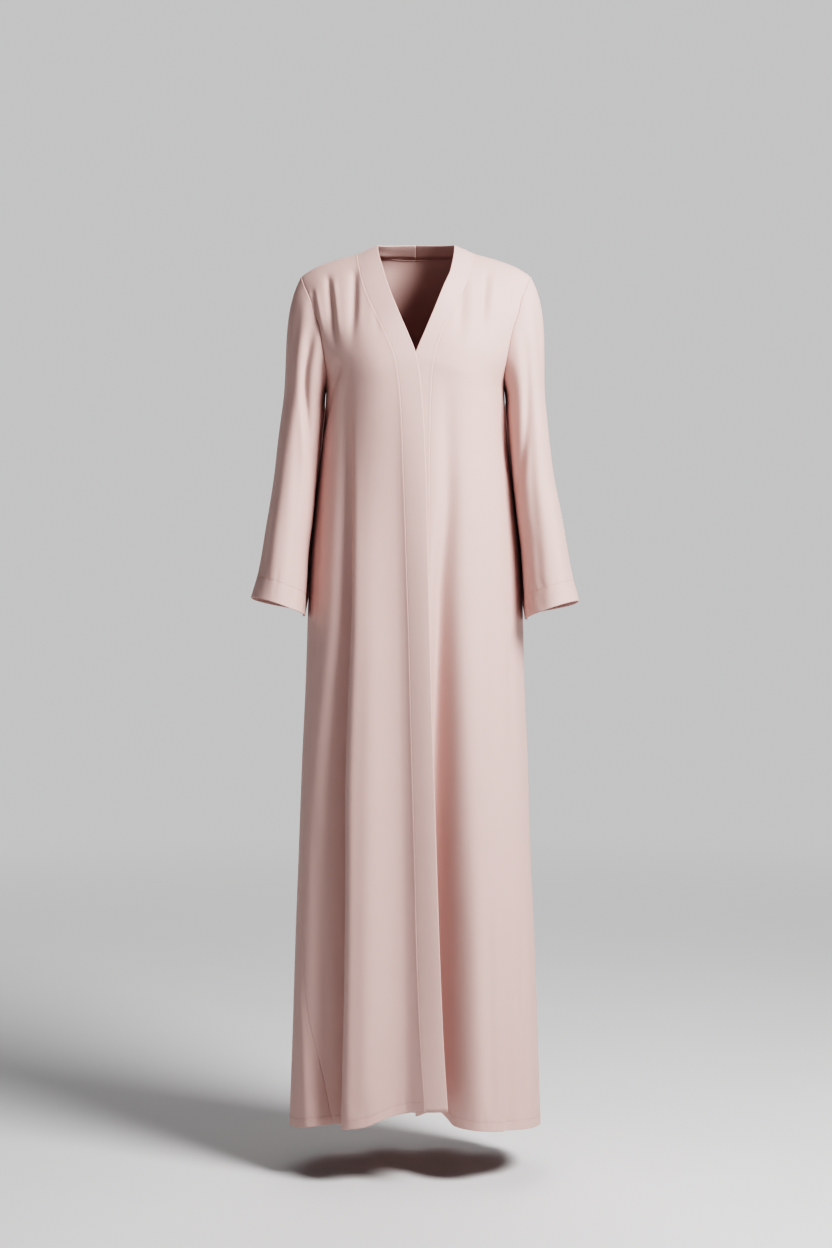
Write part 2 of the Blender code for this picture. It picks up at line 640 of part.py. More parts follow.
def front_places(piece):
    """Angle, height and distance past the band's seam for each row and column of a front."""
    side = "right" if piece == "front_right" else "left"
    sign = -1.0 if side == "right" else 1.0
    arm = armhole(ARMHOLE_FRONT, sign)
    top = BAND_SEAM[0].height
    low_start = angle_at(SEAM[side](UNDERARM), UNDERARM, piece)
    low_end = sign * SIDE[side](UNDERARM)
    rows = []
    for r in range(YOKE_ROWS + 1):
        down = (r / YOKE_ROWS) ** YOKE_CROWDING
        inner_height = mix(top, UNDERARM, down)
        outer_angle, outer_height = arm[r]
        inner_across = SEAM[side](inner_height)
        inner_angle = angle_at(inner_across, inner_height, piece)
        start = (inner_angle, low_start)
        end = (outer_angle, low_end)
        turns = column_turns(piece, FRONT_COLUMNS, start, end, UNDERARM)
        shares = (turns - inner_angle) / (outer_angle - inner_angle)
        tip = abs(torso(outer_angle, outer_height)[0])
        row = []
        for angle, share in zip(turns, shares):
            height = mix(inner_height, outer_height, share)
            across = abs(torso(angle, height)[0])
            chord = mix(SHOULDER(abs(inner_across)), SHOULDER(tip), share)
            height += (SHOULDER(across) - chord) * (1.0 - ease(r / SHOULDER_ROWS))
            row.append((angle, height, across - abs(inner_across)))
        rows.append(row)
    side_height = side_end(piece)[1]
    seam_height = seam_end(piece)
    for r in range(1, SKIRT_ROWS + 1):
        down = r / SKIRT_ROWS
        seam_level = mix(UNDERARM, seam_height, down)
        side_level = mix(UNDERARM, side_height, down)
        inner = angle_at(SEAM[side](seam_level), seam_level, piece)
        outer = sign * SIDE[side](side_level)
        level = 0.5 * (seam_level + side_level)
        turns = column_turns(piece, FRONT_COLUMNS, (inner, inner), (outer, outer), level)
        row = []
        for c, angle in enumerate(turns):
            hem = hem_height(piece, c, seam_height, side_height)
            height = mix(UNDERARM, hem, down)
            past = abs(torso(angle, height)[0] - SEAM[side](seam_level))
            row.append((angle, height, past))
        rows.append(row)
    return rows


def hem_height(piece, column, seam_height, side_height):
    """Height of the hem at one column of a front."""
    if column == 0:
        return seam_height
    if column == FRONT_COLUMNS:
        return side_height
    side = "right" if piece == "front_right" else "left"
    sign = -1.0 if side == "right" else 1.0
    inner = angle_at(SEAM[side](seam_height), seam_height, piece)
    outer = sign * SIDE[side](side_height)
    level = 0.5 * (seam_height + side_height)
    turn = column_turns(piece, FRONT_COLUMNS, (inner, inner), (outer, outer), level)[column]
    return front_hem(piece, torso(turn, level)[0])


def front_points(piece):
    rows = []
    for row in front_places(piece):
        points = []
        for angle, height, past in row:
            lift = lap_lift(height, past) if piece == "front_right" else 0.0
            points.append(cloth(piece, angle, height, lift))
        rows.append(points)
    return np.array(rows)


def back_points(side_right, side_left):
    """The back, with its side seams on the points of the fronts' side seams."""
    columns = 2 * SHOULDER_COLUMNS + NECK_COLUMNS
    arms = [armhole(ARMHOLE_BACK, side) for side in (-1.0, 1.0)]
    tip = abs(torso(*arms[0][0])[0])
    neck = NECK_SEAM[-1].out
    neck_line = Line(NECK_SEAM, "out", "height")
    top_across = np.concatenate([
        np.linspace(-tip, -neck, SHOULDER_COLUMNS + 1)[:-1],
        np.linspace(-neck, neck, NECK_COLUMNS + 1),
        np.linspace(neck, tip, SHOULDER_COLUMNS + 1)[1:],
    ])
    hem_ends = [torso_angle_height(side_right[-1]), torso_angle_height(side_left[-1])]
    rows = []
    for r in range(YOKE_ROWS + SKIRT_ROWS + 1):
        row = []
        if r <= YOKE_ROWS:
            ends = (arms[0][r], arms[1][r])
            spread = ease(r / YOKE_ROWS)
        else:
            down = (r - YOKE_ROWS) / SKIRT_ROWS
            ends = tuple((mix_side(end, side, down)) for end, side in zip(hem_ends, ("right", "left")))
            spread = 1.0
        right_turn = -180.0 - ends[0][0]
        left_turn = 180.0 - ends[1][0]
        level = UNDERARM if r <= YOKE_ROWS else 0.5 * (ends[0][1] + ends[1][1])
        low = (-180.0 + SIDE["right"](level), 180.0 - SIDE["left"](level))
        turns = column_turns("back", columns, (right_turn, low[0]), (left_turn, low[1]), level)
        for c, low_turn in enumerate(turns):
            t = c / columns
            edge = abs(2.0 * t - 1.0) ** 3
            if r <= YOKE_ROWS:
                across = top_across[c]
                top = neck_line(abs(across)) if abs(across) < neck else SHOULDER(abs(across))
                top_turn = math.degrees(math.asin(across / SECTION["left"](top)))
                turn = mix(top_turn, low_turn, spread)
                down = (r / YOKE_ROWS) ** YOKE_CROWDING
                tip_drop = mix(ends[0][1], ends[1][1], t) - mix(SHOULDER(tip), UNDERARM, down)
                height = mix(top, UNDERARM, down) + tip_drop * edge
            else:
                turn = low_turn
                hem = mix(HEM_AT_BACK, HEM_AT_SIDE, ease((abs(turn) - 30.0) / 60.0))
                end_height = mix(ends[0][1], ends[1][1], t)
                height = mix(mix(UNDERARM, hem, down), end_height, edge ** 2)
            angle = 180.0 - turn if turn > 0.0 else -180.0 - turn
            row.append(cloth("back", angle, height))
        rows.append(row)
    grid = np.array(rows)
    grid[YOKE_ROWS:, 0] = side_right[YOKE_ROWS:]
    grid[YOKE_ROWS:, -1] = side_left[YOKE_ROWS:]
    return grid


def torso_angle_height(point):
    """Angle and height of the side seam at the hem, read back from its point."""
    side = "left" if point[0] > 0.0 else "right"
    sign = 1.0 if point[0] > 0.0 else -1.0
    return sign * SIDE[side](point[2]), point[2]


def mix_side(end, side, down):
    """Angle and height of the side seam at a share of the way down the skirt."""
    height = mix(UNDERARM, end[1], down)
    sign = 1.0 if side == "left" else -1.0
    return sign * SIDE[side](height), height


def band_front_row(side, front, r):
    """One row of a band on the front, from its seam to its free edge."""
    sign = -1.0 if side == "right" else 1.0
    seam_edge = front[:, 0]
    seam = seam_edge[r]
    above = seam_edge[max(r - 1, 0)]
    below = seam_edge[min(r + 1, len(seam_edge) - 1)]
    slope = sign * (above[0] - below[0]) / np.linalg.norm(above - below)
    rise = mix(NECK_EDGE[-1].height - NECK_SEAM[-1].height, slope * BAND_WIDTH, ease(r / BAND_TURN_ROWS))
    edge_height = seam[2] + rise
    row = []
    for c in range(BAND_COLUMNS + 1):
        across = mix(seam[0], EDGE[side](edge_height), c / BAND_COLUMNS)
        height = mix(seam[2], edge_height, c / BAND_COLUMNS)
        angle = math.degrees(math.asin(across / SECTION[side](height)))
        # Under the lap the left band follows the folds of the right front
        under = fold_shift("front_right", angle, height)[0]
        lift = lap_lift(height, 0.0) if side == "right" else -under
        point = torso(angle, height) + outward(angle, height) * lift
        point[1] -= bust(point[0], height) * seam_fade(angle, height)
        row.append(point)
    miss = seam - row[0]
    return [point + miss * (1.0 - c / BAND_COLUMNS) ** BAND_SETTLE for c, point in enumerate(row)]


def band_points(side, front):
    """Outer points of a band: up the front, over the shoulder and round to the back of the neck."""
    sign = -1.0 if side == "right" else 1.0
    rows = [band_front_row(side, front, r) for r in range(len(front) - 1, -1, -1)]
    seam_line = Line(NECK_SEAM, "out", "height")
    edge_line = Line(NECK_EDGE, "out", "height")
    half_neck = NECK_COLUMNS // 2
    for k in range(1, half_neck + 1):
        left = 1.0 - k / half_neck
        seam_out = NECK_SEAM[-1].out * left
        edge_out = NECK_EDGE[-1].out * left
        seam = neck_point(sign * seam_out, seam_line(seam_out))
        edge = neck_point(sign * edge_out, edge_line(edge_out))
        rows.append([mix(seam, edge, c / BAND_COLUMNS) for c in range(BAND_COLUMNS + 1)])
    return np.array(rows)


def neck_point(across, height):
    """A point round the back of the neck."""
    half = SECTION["left"](height)
    turn = math.degrees(math.asin(across / half))
    angle = 180.0 - turn if turn > 0.0 else -180.0 - turn
    return cloth("back", angle, height)


def arm_point(arm, turn, height, side):
    """A point of the plain sleeve, at degrees round the arm from its outer side over the front."""
    turn = math.radians(turn)
    out_tilt = math.radians(arm["tilt_out"](height))
    front_tilt = math.radians(arm["tilt_front"](height))
    wide = arm["half_width"](height) * math.cos(turn)
    hind = max(-math.sin(turn), 0.0)
    deep = arm["half_depth"](height) * math.sin(turn) - arm["behind"](height) * hind ** 2
    out = arm["out"](height) + wide * math.cos(out_tilt) - arm["tuck"](height) * hind ** 4
    back = arm["back"](height) - deep * math.cos(front_tilt)
    level = height + wide * math.sin(out_tilt) + deep * math.sin(front_tilt)
    return np.array([side * out, back, level])


def sleeve_points(piece, hole):
    """Outer points of a sleeve: from the armhole over the cap, then ring by ring to the cuff."""
    side = -1.0 if piece == "sleeve_right" else 1.0
    table = ARM_RIGHT if piece == "sleeve_right" else ARM_LEFT
    arm = lines(table, "height")
    cap = lines(SLEEVE_CAP, "turn")
    columns = len(hole)
    turns = [360.0 * k / columns for k in range(columns)]
    first, last = table[0].height, table[-1].height
    rows = []
    for r in range(CAP_ROWS):
        t = r / CAP_ROWS
        ring = []
        for turn, start in zip(turns, hole):
            way = np.array([side * cap["out"](turn), -cap["forward"](turn), -cap["down"](turn)])
            way *= cap["reach"](turn) / np.linalg.norm(way)
            end = arm_point(arm, turn, first, side)
            onward = (arm_point(arm, turn, first - PROBE, side) - end) / PROBE
            onward *= np.linalg.norm(end - start)
            point = (1 + 2 * t) * (1 - t) ** 2 * start + t * (1 - t) ** 2 * way
            point += t * t * (3 - 2 * t) * end + t * t * (t - 1) * onward
            ring.append(point)
        rows.append(ring)
    for r in range(ARM_ROWS + 1):
        height = mix(first, last, r / ARM_ROWS)
        rows.append([arm_point(arm, turn, height, side) for turn in turns])
    grid = np.array(rows)
    grid[0] += np.array([side * SEAM_GAP, 0.0, 0.0])
    middle = grid.mean(axis=1, keepdims=True)
    for r in range(1, len(grid)):
        for c, turn in enumerate(turns):
            away = grid[r, c] - middle[r, 0]
            away /= np.linalg.norm(away)
            sink = 0.0
            for fold in CREASE_LINES[piece]:
                height = grid[r, c][2]
                spread = math.radians(turn - fold["turn"](height)) * ARM_RADIUS
                sink += fold["depth"](height) * math.exp(-((spread / fold["width"](height)) ** 2))
            grid[r, c] -= away * sink
    return grid


def grid_normals(grid, closed=False):
    """A unit normal at each point, from the neighbours on both sides."""
    if closed:
        across = np.roll(grid, -1, axis=1) - np.roll(grid, 1, axis=1)
    else:
        across = np.gradient(grid, axis=1)
    down = np.gradient(grid, axis=0)
    normals = np.cross(down, across)
    return normals / np.linalg.norm(normals, axis=2, keepdims=True)


def share_normals(*seams):
    """Give the normals that meet along one seam their average, where the cloth carries on."""
    for meeting in zip(*seams):
        if all(float(np.dot(meeting[0], other)) > 0.0 for other in meeting[1:]):
            both = sum(meeting)
            both = both / np.linalg.norm(both)
            for normal in meeting:
                normal[:] = both


def pull_in(line, inside):
    """Draw one edge of a panel back from its seam by half the gap, towards the points inside it."""
    way = inside - line
    line += way / np.linalg.norm(way, axis=-1, keepdims=True) * SEAM_GAP / 2.0


def shoulder_normals(line):
    """Normals along a shoulder seam, square to the shoulder line."""
    normals = []
    for point in line:
        out = abs(point[0])
        rise = (SHOULDER(out + PROBE) - SHOULDER(out - PROBE)) / (2.0 * PROBE)
        normal = np.array([-rise * math.copysign(1.0, point[0]), 0.0, 1.0])
        normals.append(normal / np.linalg.norm(normal))
    return np.array(normals)


def add_wall(piece, material, collection):
    """One closed wall of cloth between its outer points and the points beneath them."""
    name, outer, closed = piece.name, piece.outer, piece.closed
    inner = outer - piece.normals * piece.wall
    rows, columns = outer.shape[:2]
    count = rows * columns
    verts = [tuple(p) for p in outer.reshape(-1, 3)] + [tuple(p) for p in inner.reshape(-1, 3)]
    faces = []
    last_column = columns if closed else columns - 1
    for r in range(rows - 1):
        for c in range(last_column):
            n = (c + 1) % columns
            a, b = r * columns + c, r * columns + n
            d, e = (r + 1) * columns + c, (r + 1) * columns + n
            faces.append((a, d, e, b))
            faces.append((a + count, b + count, e + count, d + count))
    for c in range(last_column):
        n = (c + 1) % columns
        base = (rows - 1) * columns
        faces.append((c, n, n + count, c + count))
        faces.append((base + n, base + c, base + c + count, base + n + count))
    if not closed:
        for r in range(rows - 1):
            a, d = r * columns, (r + 1) * columns
            faces.append((d, a, a + count, d + count))
            a, d = a + columns - 1, d + columns - 1
            faces.append((a, d, d + count, a + count))
    if piece.facing < 0.0:
        faces = [face[::-1] for face in faces]
    mesh = bpy.data.meshes.new(name)
    mesh.from_pydata(verts, [], faces)
    mesh.validate()
    mesh.shade_smooth()
    mesh.set_sharp_from_angle(angle=math.radians(50.0))
    mesh.materials.append(material)
    wall = bpy.data.objects.new(name, mesh)
    collection.objects.link(wall)
    return wall


class Piece:
    """One cut piece: its outer points, which way it faces, and its normals."""

    def __init__(self, name, outer, facing, wall, closed=False):
        self.name = name
        self.outer = outer
        self.facing = facing
        self.wall = wall
        self.closed = closed
        self.normals = grid_normals(outer, closed) * facing


def join_seams(pieces):
    """Mitre the pieces where they are sewn together, then open the gap of each seam."""
    back = pieces["back"]
    for side, column in (("right", 0), ("left", -1)):
        front = pieces["front_" + side]
        band = pieces["band_" + side]
        sleeve = pieces["sleeve_" + side]
        rows = len(front.outer)
        outer = SHOULDER_COLUMNS + 1
        shoulder = slice(0, outer) if side == "right" else slice(-outer, None)
        middle = SHOULDER_COLUMNS + NECK_COLUMNS // 2
        half_neck = NECK_COLUMNS // 2
        step = 1 if side == "right" else -1
        neck_columns = [middle - step * (half_neck - k) for k in range(1, half_neck + 1)]
        front.normals[0] = shoulder_normals(front.outer[0])
        back.normals[0, shoulder] = shoulder_normals(back.outer[0, shoulder])
        band.normals[rows - 1] = shoulder_normals(band.outer[rows - 1])
        share_normals(front.normals[YOKE_ROWS:, -1], back.normals[YOKE_ROWS:, column])
        share_normals(front.normals[1:, 0], band.normals[:rows - 1, 0][::-1])
        neck_seam = back.normals[0, neck_columns]
        share_normals(neck_seam, band.normals[rows:, 0])
        back.normals[0, neck_columns] = neck_seam
        share_normals(sleeve.normals[0, :YOKE_ROWS], front.normals[:YOKE_ROWS, -1])
        share_normals(sleeve.normals[0, YOKE_ROWS + 1:], back.normals[1:YOKE_ROWS, column][::-1])
        back.normals[0, column] = front.normals[0, -1]

        pull_in(front.outer[YOKE_ROWS:, -1], front.outer[YOKE_ROWS:, -2])
        pull_in(front.outer[:, 0], front.outer[:, 1])
        pull_in(front.outer[0], front.outer[1])
        back_inside = 1 if side == "right" else -2
        pull_in(back.outer[YOKE_ROWS:, column], back.outer[YOKE_ROWS:, back_inside])
        pull_in(band.outer[:, 0], band.outer[:, 1])
        pull_in(band.outer[-1], band.outer[-2])
    share_normals(pieces["band_right"].normals[-1], pieces["band_left"].normals[-1])
    pull_in(back.outer[0], back.outer[1])


def crepe(name, colour):
    """Matt crepe of one colour."""
    material = bpy.data.materials.new(name)
    material.use_nodes = True
    shader = material.node_tree.nodes["Principled BSDF"]
    shader.inputs["Base Color"].default_value = colour
    shader.inputs["Roughness"].default_value = CREPE_ROUGHNESS
    shader.inputs["Metallic"].default_value = 0.0
    return material


def build():
    for old in list(bpy.data.objects):
        bpy.data.objects.remove(old, do_unlink=True)
    collection = bpy.data.collections.new("abaya_cloak")
    bpy.context.scene.collection.children.link(collection)

    right = front_points("front_right")
    left = front_points("front_left")
    back = back_points(right[:, -1], left[:, -1])
    band_right = band_points("right", right)
    band_left = band_points("left", left)

    # Rows run down a panel or along a band; facing says which side of the grid is outside
    pieces = {
        "front_right": Piece("front_right", right, -1.0, PANEL_WALL),
        "front_left": Piece("front_left", left, 1.0, PANEL_WALL),
        "back": Piece("back", back, -1.0, PANEL_WALL),
        "band_right": Piece("band_right", band_right, -1.0, BAND_WALL),
        "band_left": Piece("band_left", band_left, 1.0, BAND_WALL),
    }
    arm_rows = YOKE_ROWS + 1
    for side, facing, column in (("right", 1.0, 0), ("left", -1.0, -1)):
        front_edge = pieces["front_" + side].outer[:arm_rows, -1]
        back_edge = back[:arm_rows, column]
        hole = np.concatenate([front_edge, back_edge[1:-1][::-1]])
        name = "sleeve_" + side
        pieces[name] = Piece(name, sleeve_points(name, hole), facing, PANEL_WALL, closed=True)
    join_seams(pieces)

    for name, piece in pieces.items():
        colour = BAND_COLOUR if name.startswith("band") else PANEL_COLOUR
        add_wall(piece, crepe(name + "_crepe", colour), collection)


build()
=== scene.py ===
# %% [markdown]
# # A worn abaya cloak
#
# This is a long open-front cloak in plain blush crepe, hollow and standing as it does when worn.
# Seven pieces of cloth are cut and sewn: two fronts, a back, two sleeves, and a band for each front.
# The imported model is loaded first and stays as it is. Each of its plain walls is then replaced by a
# thin sheet of cloth on the same form, with finer folds, turned hems, seams and stitches.

# %% Load the frame
import math
from collections import namedtuple

import bpy
import numpy as np
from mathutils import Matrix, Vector


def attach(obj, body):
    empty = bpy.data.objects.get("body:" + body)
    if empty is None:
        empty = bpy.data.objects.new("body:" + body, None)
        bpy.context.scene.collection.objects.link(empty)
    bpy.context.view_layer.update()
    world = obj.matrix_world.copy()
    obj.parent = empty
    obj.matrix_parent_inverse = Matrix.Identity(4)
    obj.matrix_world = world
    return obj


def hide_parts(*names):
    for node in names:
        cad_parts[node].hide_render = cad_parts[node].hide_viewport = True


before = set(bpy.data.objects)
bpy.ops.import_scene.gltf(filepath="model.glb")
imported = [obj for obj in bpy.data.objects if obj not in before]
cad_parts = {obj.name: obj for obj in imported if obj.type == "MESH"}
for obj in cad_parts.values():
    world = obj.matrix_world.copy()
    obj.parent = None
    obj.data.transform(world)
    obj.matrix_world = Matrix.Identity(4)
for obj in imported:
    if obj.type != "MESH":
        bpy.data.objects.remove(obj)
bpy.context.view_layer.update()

# %% [markdown]
# +Z is up, the front faces -Y and the wearer's left is +X. `FINE` is how many fine steps the cloth
# here takes for one step of the walls, and the sizes that are counted in rows or columns follow it.

# %% Driving sizes
# The seams, the cloth, the lap, the underarm and the hems
SEAM_GAP = 0.0003
BAND_WIDTH = 0.0357
CLOTH = 0.0008
LAP_LIFT = 0.0032
LAP_FULL = 0.022
LAP_FADE = 0.060
LAP_TOP = -0.075
LAP_WHOLE = -0.125
UNDERARM = -0.205
HEM_AT_SIDE = -1.430
HEM_AT_BACK = -1.443
HEM_DEPTH = 0.015
CUFF_DEPTH = 0.035
ARM_RADIUS = 0.055
PROBE = 0.002

# The rows and columns of the pieces
FINE = 4
YOKE_ROWS = 14 * FINE
SKIRT_ROWS = 20 * 2 * FINE
FRONT_COLUMNS = 20 * FINE
SHOULDER_COLUMNS = 7 * FINE
NECK_COLUMNS = 14 * FINE
BAND_COLUMNS = 16
BAND_SETTLE = 1.25
CAP_ROWS = 6 * FINE
ARM_ROWS = 11 * FINE
YOKE_CROWDING = 1.9
SHOULDER_ROWS = 5.0 * FINE
BAND_TURN_ROWS = 3.0 * FINE
print("a front has", YOKE_ROWS + SKIRT_ROWS, "rows and", FRONT_COLUMNS, "columns")

# %% [markdown]
# The tables are written in millimetres, as a maker measures, with their columns named at the top. All
# else in Blender is in metres, so one function reads them.

# %% How the tables are written
MILLIMETRES = 1000.0
DEGREES = 1.0


def table(columns, *rows):
    """Rows with named columns. Lengths are written in millimetres and kept in metres; a star marks a
    column that holds degrees or a share."""
    names = columns.split()
    Row = namedtuple("Row", [name.rstrip("*") for name in names])
    units = [1.0 if name.endswith("*") else MILLIMETRES for name in names]
    return [Row(*(value / unit for value, unit in zip(row, units))) for row in rows]


# %% [markdown]
# A garment hangs from its shoulders, so its level sections say almost all of its form: narrow at the
# chest and wide at the hem. Each section is half an oval to the front and half to the back. Two small
# tables round it over the shoulder.

# %% Sections and shoulder
# Half widths on the wearer's right and left, how far back the widest place lies, depth to the
# front and to the back, and how square each face is
SECTIONS = table(
    "height right left middle front back front_power* back_power*",
    (46, 192, 192, 0, 126, 108, 0.75, 0.62), (-30, 192, 192, 0, 126, 108, 0.75, 0.62),
    (-80, 188, 188, 0, 126, 108, 0.75, 0.62), (-110, 178, 178, 2, 126, 108, 0.75, 0.62),
    (-147, 165, 165, 5, 126, 108, 0.75, 0.62), (-205, 148, 145.5, 12, 126, 108, 0.8, 0.68),
    (-306, 157, 152.5, 30, 128, 112, 0.82, 0.75), (-388, 166, 162.5, 34, 130, 117, 0.84, 0.8),
    (-471, 173.5, 171, 32, 133, 122, 0.85, 0.84), (-553, 178.5, 176.5, 28, 136, 128, 0.86, 0.86),
    (-692, 183.2, 180.1, 22, 141, 137, 0.88, 0.88), (-814, 189, 185.5, 17, 146, 145, 0.9, 0.9),
    (-953, 194.2, 189.9, 12, 152, 154, 0.9, 0.9), (-1137, 201.2, 198, 6, 158, 165, 0.9, 0.9),
    (-1280, 205.7, 202.7, 3, 163, 173, 0.9, 0.9), (-1445, 211.9, 208.6, 0, 168, 181, 0.9, 0.9),
)

# The shoulder line, from the middle of the neck out to the sleeve
SHOULDER_LINE = table(
    "out height",
    (0, 46), (30, 41), (62, 30), (78, 23.5), (96, 15.5), (124, 7.8), (141, 2.5), (162, -5.5),
    (178, -14.5), (188, -22), (200, -34),
)

# How the cloth rounds over the shoulder: the share of the full depth reached at each drop
SHOULDER_ROUNDING = table(
    "drop front* back*",
    (0, 0, 0), (3, 0.135, 0.2), (10, 0.245, 0.36), (20, 0.345, 0.5), (40, 0.49, 0.69),
    (70, 0.65, 0.83), (110, 0.81, 0.93), (160, 0.93, 0.99), (205, 1, 1),
)
print(len(SECTIONS), "sections down to", SECTIONS[-1].height)

# %% [markdown]
# The seams are lines on that form: the armholes, the side seams that swing forward towards the hem,
# the seams and free edges of the two bands, and the back of the neck. The hem is a height for each
# place across, because the fronts were measured there.

# %% Seams and hem
# The armhole, as degrees round the section from the middle of the front
ARMHOLE_FRONT = table(
    "height angle*",
    (-22, 78.3), (-40, 71), (-63, 64.6), (-105, 62.5), (-147, 65.5), (-175, 71.5), (-195, 80),
    (-205, 92),
)
ARMHOLE_BACK = table(
    "height angle*",
    (-22, 101.7), (-45, 107), (-80, 113.8), (-115, 115), (-150, 112), (-180, 106), (-198, 99),
    (-205, 92),
)

# The side seams, as degrees round the section: they swing forward towards the hem
SIDE_SEAM = table(
    "height right* left*",
    (-205, 92, 92), (-450, 88, 88), (-700, 80, 83), (-900, 73, 76), (-1010, 71.5, 72.5),
    (-1124, 69, 67.5), (-1207, 66, 65), (-1290, 60.5, 62.3), (-1370, 56.5, 60.5),
    (-1445, 52.5, 58.5),
)

# Where each band is sewn to its front, measured across from the middle
BAND_SEAM = table(
    "height right left",
    (15.5, -96, 96), (-14, -91.2, 89.3), (-49, -80.8, 77.8), (-73, -70.9, 65.9),
    (-105, -54.6, 48.7), (-128, -43.5, 38.9), (-154, -33.8, 31.2), (-177, -28.9, 27.4),
    (-206, -25.7, 25.4), (-258, -22.5, 23.7), (-332, -20.3, 22.3), (-422, -17.2, 22),
    (-515, -14.5, 21.4), (-611, -11.2, 20.8), (-707, -9, 20.5), (-868, -4.6, 21.2),
    (-990, -1.2, 22.8), (-1108, 1.8, 24.8), (-1218, 6, 28), (-1321, 12.4, 32.5), (-1445, 20.5, 38),
)

# The free edge of each band: the right one is the edge of the lap, and the left one runs under it
# from the point of the V down
BAND_EDGE = table(
    "height right left",
    (30, -62, 62), (27, -62, 62.2), (-12, -53.2, 56), (-39.5, -44.8, 44.5), (-83.3, -27.4, 26.8),
    (-119, -12, 11.7), (-147.3, -1, -0.3), (-165.6, 3, -6), (-192.8, 7.2, -9.5), (-220, 9.8, -11.2),
    (-264.7, 13.2, -12.2), (-354.4, 16.8, -13.5), (-482.7, 19.6, -14.1), (-611.1, 22.8, -14.9),
    (-707.5, 25.2, -15.2), (-868.3, 30.7, -14.6), (-990.6, 34.6, -13), (-1108.4, 38.4, -10.9),
    (-1255.5, 44.5, -6.2), (-1330, 49, -2.6), (-1445, 56.5, 2.3),
)

# The back of the neck: the band's seam and its free edge
NECK_SEAM = table(
    "out height",
    (0, 10), (30, 11), (60, 13.5), (80, 16.2), (96, 15.5),
)
NECK_EDGE = table(
    "out height",
    (0, 33), (20, 32.5), (40, 31.5), (55, 30.5), (62, 30),
)

# The hem of the fronts, by how far across it lies
HEM_RIGHT = table(
    "across height",
    (-172, -1410.3), (-150, -1413), (-128, -1408.5), (-104, -1404.3), (-81, -1399.5), (-64, -1392),
    (-46, -1385), (-25, -1380.5), (3, -1375.2), (30, -1373), (56, -1371.3),
)
HEM_LEFT = table(
    "across height",
    (-5, -1376), (42, -1383), (54, -1386.8), (63, -1394), (74, -1405.5), (93, -1408), (118, -1410),
    (136, -1412), (165, -1414.6), (180, -1416.5),
)
print("hem from", HEM_RIGHT[0].height, "to", HEM_LEFT[-1].height)

# %% [markdown]
# The large folds run from the bust or the shoulder blades to the hem and deepen as the skirt widens.
# Each is a valley with a ridge beside it. Guides make columns of the mesh run down them, because a
# fold that crosses its columns at a slant comes out as a row of steps.

# %% Large folds
# The large folds: a valley that runs down the cloth. centre is how far across it lies and crest
# the ridge beside it, depth how deep it is, inner and outer how wide its flanks are, and lean how
# far its floor slides under the crest
FOLD_COLUMNS = "height centre crest depth inner outer lean"
FOLDS = {
    "front_right": (
        # The deepest fold of the right front, on its outer half
        table(
            FOLD_COLUMNS,
            (-150, -113, -88, 0, 14, 18, 0), (-355, -112, -86, 11, 11, 17, 0),
            (-550, -115, -93, 20, 11, 18, 0), (-710, -128, -102, 30, 16, 23, 2),
            (-856, -138, -106, 40, 20, 30, 5), (-1034, -145, -108, 49, 26, 37, 8),
            (-1255, -152, -112, 53, 29, 42, 9), (-1445, -158, -117, 54, 30, 44, 9),
        ),
        # A shallow one beside the band
        table(
            FOLD_COLUMNS,
            (-180, -40, -20, 0, 24, 34, 0), (-420, -34, -10, 10, 28, 40, 0),
            (-850, -27, -2, 20, 32, 44, 0), (-1445, -20, 10, 28, 36, 50, 0),
        ),
    ),
    "front_left": (
        # The deep wedge beside the lap
        table(
            FOLD_COLUMNS,
            (-180, 50, 92, 0, 14, 18, 0), (-370, 53, 94, 10, 14, 16, 0),
            (-550, 42, 92, 24, 15, 22, 0), (-700, 40, 90, 40, 18, 27, 0),
            (-850, 38, 88, 53, 19, 33, 0), (-1000, 37, 88, 62, 20, 38, 0),
            (-1200, 39, 90, 66, 22, 42, 0), (-1445, 44, 94, 68, 24, 44, 0),
        ),
        # A slight one by the side seam
        table(
            FOLD_COLUMNS,
            (-850, 142, 124, 0, 10, 22, 0), (-1086, 143, 127, 3.5, 9, 22, 0),
            (-1281, 147, 132, 5.5, 9, 22, 1), (-1445, 154, 140, 7, 9, 22, 1),
        ),
    ),
    "back": (
        table(
            FOLD_COLUMNS,
            (-230, -74, -46, 0, 18, 18, 0), (-500, -80, -50, 8, 18, 20, 0),
            (-850, -90, -58, 17, 18, 22, 0), (-1445, -108, -72, 31, 21, 26, 0),
        ),
        table(
            FOLD_COLUMNS,
            (-150, -8, 20, 0, 20, 20, 0), (-420, -9, 24, 7, 20, 22, 0),
            (-800, -9, 28, 16, 20, 22, 0), (-1445, -4, 36, 29, 22, 26, 0),
        ),
        table(
            FOLD_COLUMNS,
            (-200, 64, 38, 0, 18, 18, 0), (-480, 70, 42, 7, 18, 20, 0),
            (-800, 79, 48, 15, 18, 20, 0), (-1445, 96, 60, 28, 21, 24, 0),
        ),
        table(
            FOLD_COLUMNS,
            (-500, 134, 108, 0, 16, 16, 0), (-900, 146, 116, 7, 18, 18, 0),
            (-1445, 168, 136, 15, 20, 20, 0),
        ),
    ),
}

# Columns of points that follow the folds, from the band or the right side seam outwards: which
# fold, which of its lines, and the column that runs down it
Guide = namedtuple("Guide", "fold line column")
GUIDES = {
    "front_right": (Guide(0, "crest", 10 * FINE), Guide(0, "centre", 14 * FINE)),
    "front_left": (
        Guide(0, "crest", 8 * FINE), Guide(1, "crest", 14 * FINE), Guide(1, "centre", 16 * FINE),
    ),
    "back": [Guide(k, "centre", column * FINE) for k, column in enumerate((8, 14, 20, 24))],
}

